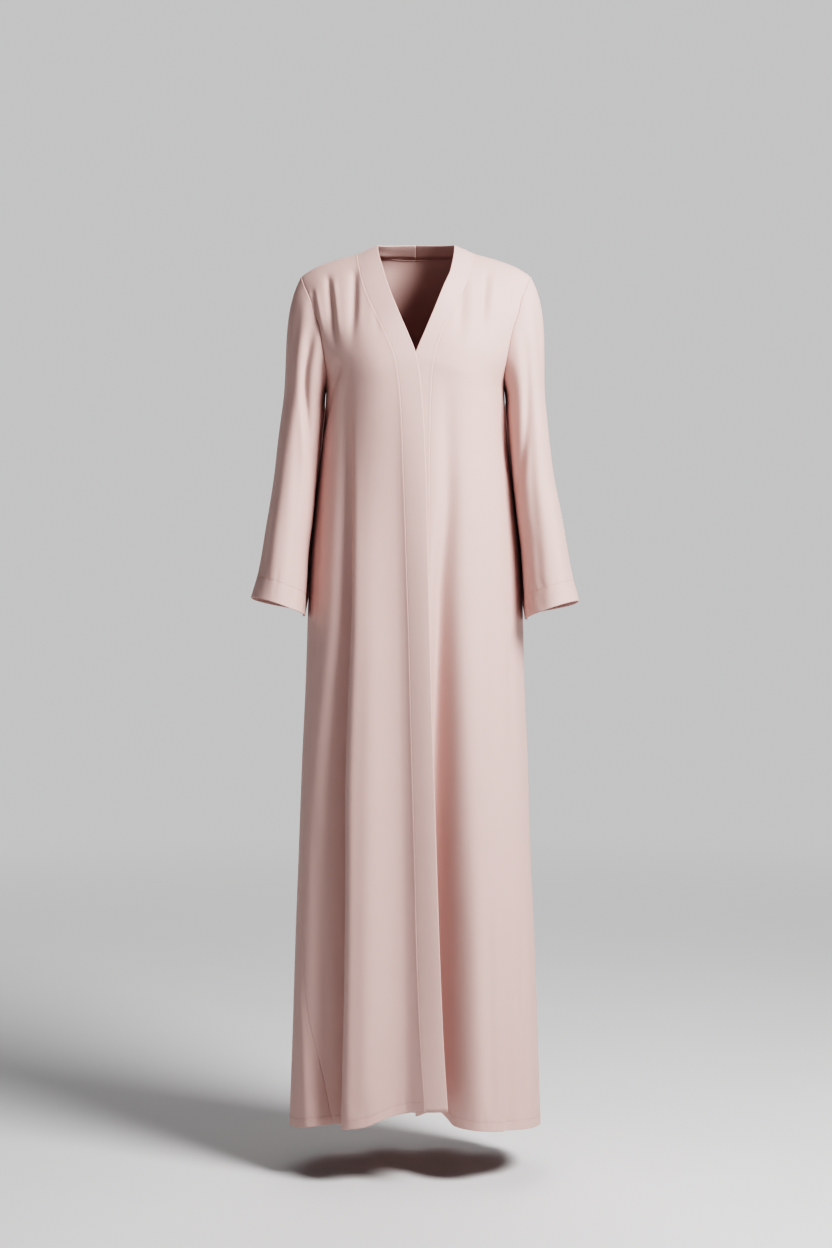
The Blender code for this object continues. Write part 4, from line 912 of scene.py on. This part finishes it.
def sleeve_points(piece, hole):
    side = -1.0 if piece == "sleeve_right" else 1.0
    table = ARM_RIGHT if piece == "sleeve_right" else ARM_LEFT
    arm = lines(table, "height")
    cap = lines(SLEEVE_CAP, "turn")
    turns = 360.0 * np.arange(len(hole)) / len(hole)
    first, last = table[0].height, table[-1].height
    way = np.stack([side * cap["out"](turns), -cap["forward"](turns), -cap["down"](turns)], axis=-1)
    way = unit(way) * cap["reach"](turns)[:, None]
    end = arm_point(arm, turns, first, side)
    onward = (arm_point(arm, turns, first - PROBE, side) - end) / PROBE
    onward = onward * np.linalg.norm(end - hole, axis=1, keepdims=True)
    t = (np.arange(CAP_ROWS) / CAP_ROWS)[:, None, None]
    cap_part = (1 + 2 * t) * (1 - t) ** 2 * hole + t * (1 - t) ** 2 * way
    cap_part = cap_part + t * t * (3 - 2 * t) * end + t * t * (t - 1) * onward
    heights = np.linspace(first, last, ARM_ROWS + 1)[:, None]
    grid = np.concatenate([cap_part, arm_point(arm, turns, heights, side)])
    grid[0, :, 0] += side * SEAM_GAP
    away = unit(grid - grid.mean(axis=1, keepdims=True))
    level = grid[..., 2]
    round_arm = np.broadcast_to(turns, level.shape)
    sink = np.zeros_like(level)
    for fold in CREASE_LINES[piece]:
        spread = np.radians(round_arm - fold["turn"](level)) * ARM_RADIUS
        sink += fold["depth"](level) * np.exp(-((spread / fold["width"](level)) ** 2))
    for stroke in STROKES[piece]:
        sink += stroke_sink(arm_spots(round_arm, level), stroke, arm_spots)
    below_seam = ease(np.arange(len(grid)) / FINE / 2.0)[:, None]
    return grid - away * (sink * below_seam)[..., None]


for side, column in (("right", 0), ("left", -1)):
    front_edge = grids["front_" + side][: YOKE_ROWS + 1, -1]
    hole = np.concatenate([front_edge, back[1:YOKE_ROWS, column][::-1]])
    grids["sleeve_" + side] = sleeve_points("sleeve_" + side, hole)
for name, grid in grids.items():
    print(name, np.round(grid.min(axis=(0, 1)), 3), np.round(grid.max(axis=(0, 1)), 3))

# %% [markdown]
# ## Sewn edges
#
# A sewn edge is never a bare cut. A seam's two edges roll under and stand together inside, a hem is
# turned up and stitched, and the band is a strip folded double. Each kind of edge is a short profile:
# how far back from the edge and how far beneath the face the cloth lies.

# %% Edge profiles
EDGE_COLUMNS = "back under"
# A seam pressed to one side: the edge that the turnings lie under stands a little proud
SEAM_FLAT = table(EDGE_COLUMNS, (5, 0), (1.6, 0), (0.6, 0.03), (0.15, 0.16), (0, 0.45), (0, 2))
SEAM_PROUD = table(
    EDGE_COLUMNS,
    (6, 0), (3.4, -0.22), (2.2, -0.36), (1.4, -0.34), (0.6, -0.1), (0.15, 0.12), (0, 0.45), (0, 2),
)
# A seam pressed open: both edges sink into a fine groove
SEAM_SUNK = table(EDGE_COLUMNS, (4, 0), (1.9, 0.03), (1, 0.14), (0.35, 0.38), (0, 0.8), (0, 2))
# A folded edge, rolled a little proud, and the cloth that turns back under it
FOLDED_EDGE = table(
    EDGE_COLUMNS,
    (4, 0), (2.2, -0.1), (1.1, -0.14), (0.4, 0.12), (0.05, 0.8), (0.4, 1.5), (1.5, 1.8),
)
BAND_FOLD = FOLDED_EDGE + table(EDGE_COLUMNS, (12, 1.8), (24, 1.8), (34, 1.8))
# A stitch line dents the cloth at the depth of the hem, then the cloth runs on to the fold
HEM_LINE = table(EDGE_COLUMNS, (17.6, 0), (16.2, 0.05), (15, 0.35), (13.8, 0.05), (12.4, 0), (7.5, -0.1))
HEM_FOLD = HEM_LINE + FOLDED_EDGE + table(EDGE_COLUMNS, (6, 1.8), (15, 1.9))
CUFF_LINE = table(
    EDGE_COLUMNS, (37.6, 0), (36.2, 0.05), (35, 0.35), (33.8, 0.05), (32.4, 0), (20, -0.1), (9, 0)
)
CUFF_FOLD = CUFF_LINE + FOLDED_EDGE + table(EDGE_COLUMNS, (10, 1.8), (22, 1.8), (35, 1.9))
SEAM_CLOSE = 0.0001
EDGE_ROOM = 1.05


def back_from_edge(points):
    """Distance of every point of a grid from its last row, along the cloth."""
    steps = np.linalg.norm(np.diff(points, axis=0), axis=-1)
    return np.concatenate([np.cumsum(steps[::-1], axis=0)[::-1], np.zeros((1, points.shape[1]))])


def walk(points, normals, back):
    """The line that lies this far back from the last row, with its normals."""
    away = back_from_edge(points)
    back = np.broadcast_to(back, points.shape[1])
    line = np.empty((2,) + points.shape[1:])
    for c in range(points.shape[1]):
        for k in range(3):
            line[0, c, k] = np.interp(-back[c], -away[:, c], points[:, c, k])
            line[1, c, k] = np.interp(-back[c], -away[:, c], normals[:, c, k])
    return line[0], unit(line[1])


def finish_edge(points, normals, profile, row=-1, column=None):
    """Replace the rows next to one edge by its profile; the edge is the first or last row or column."""
    if column is not None:
        swapped = [grid.swapaxes(0, 1) for grid in (points, normals)]
        return tuple(grid.swapaxes(0, 1) for grid in finish_edge(*swapped, profile, row=column))
    if row == 0:
        flipped = [grid[::-1] for grid in (points, normals)]
        return tuple(grid[::-1] for grid in finish_edge(*flipped, profile))
    away = back_from_edge(points)
    reach = profile[0].back
    kept = int((away.min(axis=1) > EDGE_ROOM * reach).sum())
    rows = [(mix(away[kept - 1], reach, share), 0.0) for share in (0.25, 0.5, 0.75)]
    rows += profile
    new_points, new_normals = [points[:kept]], [normals[:kept]]
    for back, under in rows:
        line, square = walk(points, normals, back)
        new_points.append((line - square * under)[None])
        new_normals.append(square[None])
    return np.concatenate(new_points), np.concatenate(new_normals)


# %% [markdown]
# The stitch line of a hem draws the cloth a little, so small dents sit along it at uneven places.
# They are shallow, a few tenths of a millimetre, and lean with the grain of the cloth.

# %% Puckers along a stitch line
PUCKER_DEEP = (0.0002, 0.0009)
PUCKER_WIDE = (0.0022, 0.0045)
PUCKER_SLANT = (-0.5, 0.5)
PUCKER_APART = (0.009, 0.026)
PUCKER_START = 0.006


def pucker(points, normals, back, seed):
    """Small slanting dents along the line this far back from the last row."""
    rng = np.random.default_rng(seed)
    away = back_from_edge(points)
    edge = points[-1]
    along = np.concatenate([[0.0], np.cumsum(np.linalg.norm(np.diff(edge, axis=0), axis=1))])
    sink = np.zeros(points.shape[:2])
    place = PUCKER_START
    while place < along[-1]:
        deep = rng.uniform(*PUCKER_DEEP)
        wide = rng.uniform(*PUCKER_WIDE)
        slant = rng.uniform(*PUCKER_SLANT)
        share = np.exp(-(((along - place + slant * (away - back)) / wide) ** 2))
        sink += deep * share * np.exp(-(((away - back) / (0.45 * back + 0.004)) ** 2))
        place += rng.uniform(*PUCKER_APART)
    return points - normals * sink[..., None]


# %% [markdown]
# A grid becomes a sheet, and Solidify gives the sheet its thickness on the inner side, so every piece
# is a closed thin shell. The UV map is laid out in metres along the cloth, for the weave.

# %% From a grid to a shell of cloth
def grid_normals(grid, facing, closed=False):
    if closed:
        across = np.roll(grid, -1, axis=1) - np.roll(grid, 1, axis=1)
    else:
        across = np.gradient(grid, axis=1)
    return unit(np.cross(np.gradient(grid, axis=0), across)) * facing


def cloth_map(points):
    """Metres along the cloth for every point of a grid."""
    run = np.linalg.norm(np.diff(points, axis=1), axis=-1)
    u = np.concatenate([np.zeros((len(points), 1)), np.cumsum(run, axis=1)], axis=1)
    fall = np.linalg.norm(np.diff(points, axis=0), axis=-1).mean(axis=1)
    v = np.concatenate([[0.0], np.cumsum(fall)])
    u = u - u[:, u.shape[1] // 2][:, None]
    return np.stack([u, np.broadcast_to(-v[:, None], u.shape)], axis=-1)


def shell(name, points, facing, material, closed=False):
    """One closed thin shell whose outer face is the grid."""
    rows, columns = points.shape[:2]
    ring = np.concatenate([points, points[:, :1]], axis=1) if closed else points
    spots = cloth_map(ring)
    faces, corners = [], []
    for r in range(rows - 1):
        for c in range(columns if closed else columns - 1):
            n = (c + 1) % columns
            face = [(r, c, c), (r, n, c + 1), (r + 1, n, c + 1), (r + 1, c, c)]
            if facing > 0.0:
                face = face[::-1]
            faces.append([row * columns + column for row, column, _ in face])
            corners.extend(spots[row, place] for row, _, place in face)
    mesh = bpy.data.meshes.new(name)
    mesh.from_pydata([tuple(p) for p in points.reshape(-1, 3)], [], faces)
    layer = mesh.uv_layers.new(name="cloth")
    layer.data.foreach_set("uv", np.array(corners).ravel())
    sheet = bpy.data.objects.new(name, mesh)
    bpy.context.scene.collection.objects.link(sheet)
    solidify = sheet.modifiers.new("thickness", "SOLIDIFY")
    solidify.thickness = CLOTH
    solidify.offset = -1.0
    area = sum(polygon.area for polygon in mesh.polygons)
    bpy.context.view_layer.update()
    solid = bpy.data.meshes.new_from_object(sheet.evaluated_get(bpy.context.evaluated_depsgraph_get()))
    sheet.modifiers.remove(solidify)
    sheet.data = solid
    bpy.data.meshes.remove(mesh)
    solid.name = name
    solid.materials.clear()
    solid.materials.append(material)
    solid.shade_smooth()
    print(name, len(solid.polygons), "faces, one layer", round(area, 3), "square metres")
    return sheet

# %% [markdown]
# ## Crepe
#
# Crepe is matt with a fine pebbled grain. On the real cloth it comes from tightly twisted yarns. Here
# a small bump does it: pebbles under a millimetre, faint slubs along the warp, and slow soft unevenness
# as in any cloth that has hung and been handled. The colour hardly varies.

# %% A small wrapper for shader maths
class Value:
    """A node socket that can be added, multiplied and so on."""

    def __init__(self, tree, socket):
        self.tree = tree
        self.socket = socket

    def node(self, kind, settings=(), output=0, **inputs):
        made = self.tree.nodes.new(kind)
        for key, value in dict(settings).items():
            setattr(made, key, value)
        for key, value in inputs.items():
            name = key.replace("_", " ")
            socket = made.inputs[int(key[1:])] if key[0] == "i" and key[1:].isdigit() else made.inputs[name]
            if isinstance(value, Value):
                self.tree.links.new(value.socket, socket)
            else:
                socket.default_value = value
        return None if output is None else Value(self.tree, made.outputs[output])

    def maths(self, operation, first, second=0.0):
        return self.node("ShaderNodeMath", {"operation": operation}, i0=first, i1=second)

    def __add__(self, other):
        return self.maths("ADD", self, other)

    def __radd__(self, other):
        return self.maths("ADD", other, self)

    def __sub__(self, other):
        return self.maths("SUBTRACT", self, other)

    def __rsub__(self, other):
        return self.maths("SUBTRACT", other, self)

    def __mul__(self, other):
        return self.maths("MULTIPLY", self, other)

    def __rmul__(self, other):
        return self.maths("MULTIPLY", other, self)

    def blend(self, first, second):
        """From one colour to another as this value goes from 0 to 1."""
        settings = {"data_type": "RGBA"}
        return self.node("ShaderNodeMix", settings, output=2, i0=self, i6=first, i7=second)


def new_material(name):
    material = bpy.data.materials.new(name)
    material.use_nodes = True
    tree = material.node_tree
    shader = tree.nodes["Principled BSDF"]
    return material, tree, shader


# %% Crepe and thread
def crepe(name, light, dark, grain):
    """Matt crepe between two close colours, with a pebbled grain of this strength."""
    material, tree, shader = new_material(name)
    start = Value(tree, None)
    uv = start.node("ShaderNodeUVMap", {"uv_map": "cloth"})
    place = start.node("ShaderNodeTexCoord", output=3)
    stretch = start.node("ShaderNodeVectorMath", {"operation": "MULTIPLY"}, i0=uv, i1=(2200.0, 260.0, 1.0))
    pebble = start.node("ShaderNodeTexNoise", Vector=uv, Scale=1500.0, Detail=2.0, Roughness=0.55)
    slub = start.node("ShaderNodeTexNoise", Vector=stretch, Scale=1.0, Detail=2.0, Roughness=0.5)
    cloud = start.node("ShaderNodeTexNoise", Vector=place, Scale=7.0, Detail=3.0, Roughness=0.5)
    wear = start.node("ShaderNodeTexNoise", Vector=place, Scale=38.0, Detail=3.0, Roughness=0.55)
    tone = cloud * 0.55 + wear * 0.25 + slub * 0.35 + pebble * 0.25 - 0.2
    tree.links.new(tone.blend(dark, light).socket, shader.inputs["Base Color"])
    relief = pebble * 0.65 + slub * 0.35 + wear * 1.2
    bump = start.node("ShaderNodeBump", Strength=grain, Distance=0.0004, Height=relief)
    tree.links.new(bump.socket, shader.inputs["Normal"])
    rough = pebble * 0.10 + 0.62
    tree.links.new(rough.socket, shader.inputs["Roughness"])
    shader.inputs["Sheen Weight"].default_value = 0.12
    shader.inputs["Sheen Roughness"].default_value = 0.45
    shader.inputs["Sheen Tint"].default_value = (1.0, 0.90, 0.87, 1.0)
    shader.inputs["Specular IOR Level"].default_value = 0.28
    return material


def thread_material(name):
    """Matt sewing thread, a little lighter than the cloth, with its twist as faint bands."""
    material, tree, shader = new_material(name)
    start = Value(tree, None)
    place = start.node("ShaderNodeTexCoord", output=3)
    twist = start.node("ShaderNodeTexNoise", Vector=place, Scale=900.0, Detail=1.0)
    colour = twist.blend((0.52, 0.35, 0.32, 1.0), (0.66, 0.48, 0.44, 1.0))
    tree.links.new(colour.socket, shader.inputs["Base Color"])
    shader.inputs["Roughness"].default_value = 0.7
    return material


PANEL_CREPE = crepe("panel_crepe", (0.655, 0.456, 0.426, 1.0), (0.597, 0.405, 0.376, 1.0), 0.5)
BAND_CREPE = crepe("band_crepe", (0.668, 0.468, 0.437, 1.0), (0.610, 0.417, 0.388, 1.0), 0.5)
THREAD = thread_material("thread")
print("materials", [m.name for m in bpy.data.materials if m.use_nodes][-3:])

# %% [markdown]
# ## Stitches
#
# Hems and cuffs are held by one row of short stitches. A row of stitches follows a path, so it is made
# with Geometry Nodes: the path is resampled at the stitch pitch, a small bead of thread is laid along
# it at each point, and every bead is turned and sized a little differently.

# %% A node tree for a row of stitches
STITCH_PITCH = 0.0035
STITCH_LENGTH = 0.0026
STITCH_WIDTH = 0.0006


def stitch_tree():
    tree = bpy.data.node_groups.new("stitch_row", "GeometryNodeTree")
    face = tree.interface
    face.new_socket("Geometry", in_out="INPUT", socket_type="NodeSocketGeometry")
    for name, value in (("Pitch", STITCH_PITCH), ("Length", STITCH_LENGTH), ("Width", STITCH_WIDTH)):
        face.new_socket(name, in_out="INPUT", socket_type="NodeSocketFloat").default_value = value
    face.new_socket("Seed", in_out="INPUT", socket_type="NodeSocketInt").default_value = 1
    face.new_socket("Material", in_out="INPUT", socket_type="NodeSocketMaterial")
    face.new_socket("Geometry", in_out="OUTPUT", socket_type="NodeSocketGeometry")
    given = {socket.name: Value(tree, socket) for socket in tree.nodes.new("NodeGroupInput").outputs}
    start = Value(tree, None)
    path = start.node("GeometryNodeMeshToCurve", Mesh=given["Geometry"])
    spots = start.node("GeometryNodeResampleCurve", {"mode": "LENGTH"}, Curve=path, Length=given["Pitch"])
    tangent = start.node("GeometryNodeInputTangent")
    turn = start.node("FunctionNodeAlignRotationToVector", {"axis": "X"}, Vector=tangent)
    jitter = start.node(
        "FunctionNodeRandomValue", {"data_type": "FLOAT_VECTOR"},
        Min=(0.82, 0.85, 0.85), Max=(1.12, 1.15, 1.15), Seed=given["Seed"],
    )
    ball = start.node("GeometryNodeMeshUVSphere", Segments=6, Rings=4, Radius=0.5)
    sizes = start.node("ShaderNodeCombineXYZ", X=given["Length"], Y=given["Width"], Z=given["Width"])
    bead = start.node("GeometryNodeTransform", Geometry=ball, Scale=sizes)
    row = start.node(
        "GeometryNodeInstanceOnPoints", Points=spots, Instance=bead, Rotation=turn, Scale=jitter)
    real = start.node("GeometryNodeRealizeInstances", Geometry=row)
    smooth = start.node("GeometryNodeSetShadeSmooth", Geometry=real)
    painted = start.node("GeometryNodeSetMaterial", Geometry=smooth, Material=given["Material"])
    start.node("NodeGroupOutput", output=None, Geometry=painted)
    return tree


STITCH_TREE = stitch_tree()


def stitch_row(name, line, seed):
    """One row of stitches along a line of points."""
    mesh = bpy.data.meshes.new(name)
    mesh.from_pydata([tuple(p) for p in line], [(k, k + 1) for k in range(len(line) - 1)], [])
    row = bpy.data.objects.new(name, mesh)
    bpy.context.scene.collection.objects.link(row)
    modifier = row.modifiers.new("stitches", "NODES")
    modifier.node_group = STITCH_TREE
    values = {"Pitch": STITCH_PITCH, "Length": STITCH_LENGTH, "Seed": seed, "Material": THREAD}
    for item in STITCH_TREE.interface.items_tree:
        if item.item_type == "SOCKET" and item.in_out == "INPUT" and item.name in values:
            modifier[item.identifier] = values[item.name]
    bpy.context.view_layer.update()
    made = bpy.data.meshes.new_from_object(row.evaluated_get(bpy.context.evaluated_depsgraph_get()))
    row.modifiers.remove(modifier)
    row.data = made
    bpy.data.meshes.remove(mesh)
    made.name = name
    print(name, len(made.polygons), "faces")
    return row

# %% [markdown]
# ## The seven pieces
#
# Each point of a grid has a direction out of the cloth. Where two pieces meet in a seam they share it,
# so that the surface carries on from one to the next. Then each edge gets its finish.

# %% Directions out of the cloth
FACING = {"front_right": -1.0, "front_left": 1.0, "back": -1.0, "band_right": -1.0, "band_left": 1.0}
FACING.update(sleeve_right=1.0, sleeve_left=-1.0)
normals = {}
for name, grid in grids.items():
    normals[name] = grid_normals(grid, FACING[name], name.startswith("sleeve"))
print("normals of", ", ".join(normals))


# %% Share the normals along the seams
def share_normals(*seams):
    """Give the normals that meet along one seam their average, where the cloth carries on."""
    both = unit(sum(seams))
    for seam in seams:
        agree = (seam * seams[0]).sum(-1, keepdims=True) > 0.0
        seam[:] = np.where(agree, both, seam)


def shoulder_normals(line):
    """Normals along a shoulder seam, square to the shoulder line."""
    out = np.abs(line[:, 0])
    rise = (SHOULDER(out + PROBE) - SHOULDER(out - PROBE)) / (2.0 * PROBE)
    return unit(np.stack([-rise * np.sign(line[:, 0]), 0.0 * rise, 0.0 * rise + 1.0], axis=-1))


for side, column in (("right", 0), ("left", -1)):
    front, band = normals["front_" + side], normals["band_" + side]
    sleeve = normals["sleeve_" + side]
    rows = len(front)
    outer = SHOULDER_COLUMNS + 1
    shoulder = slice(0, outer) if side == "right" else slice(-outer, None)
    middle = SHOULDER_COLUMNS + NECK_COLUMNS // 2
    step = 1 if side == "right" else -1
    neck_columns = [middle - step * (NECK_COLUMNS // 2 - k) for k in range(1, NECK_COLUMNS // 2 + 1)]
    front[0] = shoulder_normals(grids["front_" + side][0])
    normals["back"][0, shoulder] = shoulder_normals(back[0, shoulder])
    band[rows - 1] = shoulder_normals(grids["band_" + side][rows - 1])
    share_normals(front[YOKE_ROWS:, -1], normals["back"][YOKE_ROWS:, column])
    share_normals(front[1:, 0], band[: rows - 1, 0][::-1])
    neck = normals["back"][0, neck_columns]
    share_normals(neck, band[rows:, 0])
    normals["back"][0, neck_columns] = neck
    share_normals(sleeve[0, :YOKE_ROWS], front[:YOKE_ROWS, -1])
    share_normals(sleeve[0, YOKE_ROWS + 1 :], normals["back"][1:YOKE_ROWS, column][::-1])
share_normals(normals["band_right"][-1], normals["band_left"][-1])
print("normals shared")

# %% [markdown]
# Fronts: seams at the shoulder, the armhole, the side and the band, and a turned hem at the foot.
# The bands fold double along their free edge. Sleeves have a seam at the armhole and a deep cuff hem.

# %% Finish the edges and lay the cloth
STITCH_STAND = 0.00005
stitches, sheets = {}, {}


def close_up(points, **where):
    """Move one edge out a hair, so that the cloth of two pieces all but touches in the seam."""
    grid = points.copy()
    rows = grid if "row" in where else grid.swapaxes(0, 1)
    edge, inside = (0, 1) if 0 in where.values() else (-1, -2)
    rows[edge] += unit(rows[edge] - rows[inside]) * SEAM_CLOSE
    return grid


def make(name, seams, hem, back_of_hem, seed, closed=False):
    """A hemmed piece: its puckers, its row of stitches, its turned hem, its seams and its cloth."""
    square = normals[name]
    points = pucker(grids[name], square, back_of_hem, seed)
    line, out = walk(points, square, back_of_hem)
    path = line + out * STITCH_STAND
    if closed:
        path = np.concatenate([path, path[:1]])
    stitches[name] = stitch_row(name + "_stitches", path, seed)
    points, square = finish_edge(points, square, hem)
    for where, profile in seams:
        points, square = finish_edge(close_up(points, **where), square, profile, **where)
    sheets[name] = shell(name + "_cloth", points, FACING[name], PANEL_CREPE, closed)


TOP, INNER, OUTER = {"row": 0}, {"column": 0}, {"column": -1}
FLAT_TOP, SUNK_INNER, SUNK_OUTER = (TOP, SEAM_FLAT), (INNER, SEAM_SUNK), (OUTER, SEAM_SUNK)
make("front_right", (FLAT_TOP, (INNER, SEAM_PROUD), SUNK_OUTER), HEM_FOLD, HEM_DEPTH, 3)
make("front_left", (FLAT_TOP, (INNER, SEAM_FLAT), SUNK_OUTER), HEM_FOLD, HEM_DEPTH, 5)
make("back", (FLAT_TOP, SUNK_INNER, SUNK_OUTER), HEM_FOLD, HEM_DEPTH, 7)
make("sleeve_right", ((TOP, SEAM_PROUD),), CUFF_FOLD, CUFF_DEPTH, 11, closed=True)
make("sleeve_left", (FLAT_TOP,), CUFF_FOLD, CUFF_DEPTH, 13, closed=True)
for side in ("right", "left"):
    name = "band_" + side
    points, square = grids[name], normals[name]
    profile = SEAM_FLAT if side == "right" else SEAM_PROUD
    points, square = finish_edge(close_up(points, column=0), square, profile, column=0)
    points, square = finish_edge(points, square, BAND_FOLD, column=-1)
    sheets[name] = shell(name + "_cloth", points, FACING[name], BAND_CREPE)

# %% [markdown]
# ## The pieces in place
#
# Every sheet stands for one wall of the imported model and moves with its only body. The flat sizes
# are the cut of what shows: seam to seam and shoulder to hem on a panel, the strip before it is
# folded for a band, and all round the arm for a sleeve. Seam and hem allowances are left out.

# %% Each sheet in place of its wall
Cut = namedtuple("Cut", "width length area slot")
CUTS = {
    "front_right": Cut(0.27, 1.46, 0.34, "panel_crepe"),
    "front_left": Cut(0.27, 1.46, 0.34, "panel_crepe"),
    "back": Cut(0.75, 1.46, 0.84, "panel_crepe"),
    "band_right": Cut(0.072, 1.56, 0.112, "band_crepe"),
    "band_left": Cut(0.072, 1.56, 0.112, "band_crepe"),
    "sleeve_right": Cut(0.38, 0.62, 0.18, "panel_crepe"),
    "sleeve_left": Cut(0.38, 0.62, 0.18, "panel_crepe"),
}
for name, cut in CUTS.items():
    cloth_piece = sheets[name]
    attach(cloth_piece, "root")
    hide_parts(name)
    if name in stitches:
        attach(stitches[name], "root")
print(len(sheets), "sheets and", len(stitches), "rows of stitches")

# %% [markdown]
# ## Floor, light and camera
#
# The photograph has a pale studio: a light floor that runs into a light wall without an edge. One
# large soft light stands in front on the wearer's left, so every fold is dark on its other flank,
# the one towards the wearer's right. A second one, behind, keeps the floor as pale as the wall.

# %% Studio
FLOOR_HEIGHT = -1.501
FLOOR_REACH = 9.0
WALL_TONE = 0.24
OVERHEAD = (0.035, 0.035, 0.036, 1.0)


def grey(tone):
    return (tone, tone, tone, 1.0)


def pale_floor():
    """A wide disc whose rim fades into the pale surroundings."""
    mesh = bpy.data.meshes.new("floor")
    turns = np.linspace(0.0, math.tau, 96, endpoint=False)
    rim = [(FLOOR_REACH * math.cos(turn), FLOOR_REACH * math.sin(turn), 0.0) for turn in turns]
    mesh.from_pydata(rim, [], [list(range(len(rim)))])
    material, tree, shader = new_material("floor")
    start = Value(tree, None)
    place = start.node("ShaderNodeTexCoord", output=3)
    away = start.node("ShaderNodeVectorMath", {"operation": "LENGTH"}, output=1, i0=place)
    speckle = start.node("ShaderNodeTexNoise", Vector=place, Scale=3.0, Detail=2.0)
    colour = speckle.blend(grey(0.80), grey(0.84))
    tree.links.new(colour.socket, shader.inputs["Base Color"])
    settings = {"interpolation_type": "SMOOTHSTEP"}
    fade = start.node("ShaderNodeMapRange", settings, i0=away, i1=1.4, i2=4.5, i3=1.0, i4=0.0)
    tree.links.new(fade.socket, shader.inputs["Alpha"])
    shader.inputs["Roughness"].default_value = 0.9
    shader.inputs["Specular IOR Level"].default_value = 0.1
    mesh.materials.append(material)
    floor = bpy.data.objects.new("floor", mesh)
    floor.location = (0.0, 0.0, FLOOR_HEIGHT)
    bpy.context.scene.collection.objects.link(floor)
    return floor


def area_light(name, place, aim, size, power, colour=(1.0, 1.0, 1.0)):
    data = bpy.data.lights.new(name, "AREA")
    data.shape = "DISK"
    data.size = size
    data.energy = power
    data.color = colour
    light = bpy.data.objects.new(name, data)
    light.location = place
    light.rotation_euler = (Vector(aim) - Vector(place)).to_track_quat("-Z", "Y").to_euler()
    bpy.context.scene.collection.objects.link(light)
    return light


floor = pale_floor()
area_light(
    "key", place=(1.66, -1.67, 1.25), aim=(0.0, 0.0, 0.30), size=1.2, power=62.0,
    colour=(1.0, 0.99, 0.985),
)
area_light("wash", place=(0.0, 3.0, 1.9), aim=(0.0, 1.9, -1.5), size=3.0, power=17.0)


def studio_world():
    """Pale all round and below the eye, darker overhead, so the light stays soft but has a direction."""
    world = bpy.data.worlds.new("studio")
    world.use_nodes = True
    tree = world.node_tree
    start = Value(tree, None)
    way = start.node("ShaderNodeTexCoord", output=0)
    up = start.node("ShaderNodeSeparateXYZ", output=2, i0=way)
    settings = {"interpolation_type": "SMOOTHSTEP"}
    rise = start.node("ShaderNodeMapRange", settings, i0=up, i1=0.155, i2=0.30, i3=0.0, i4=1.0)
    tone = rise.blend(grey(WALL_TONE), OVERHEAD)
    tree.links.new(tone.socket, tree.nodes["Background"].inputs["Color"])
    return world


bpy.context.scene.world = studio_world()
bpy.context.scene.view_settings.view_transform = "Filmic"
bpy.context.scene.view_settings.look = "Very High Contrast"
bpy.context.scene.view_settings.exposure = 1.0

# %% [markdown]
# The camera is a long lens almost level with the chest and tipped down three degrees, which is what
# the widths of the shoulders and hem and the two edges of the shadow on the floor ask for.

# %% Camera
lens = bpy.data.cameras.new("camera")
lens.lens = 85.0
lens.sensor_height = 36.0
lens.sensor_fit = "VERTICAL"
camera = bpy.data.objects.new("camera", lens)
camera.location = (0.0, -4.8625, -0.3256)
camera.rotation_euler = (math.radians(90.0 - 3.147), 0.0, 0.0)
bpy.context.scene.collection.objects.link(camera)
bpy.context.scene.camera = camera
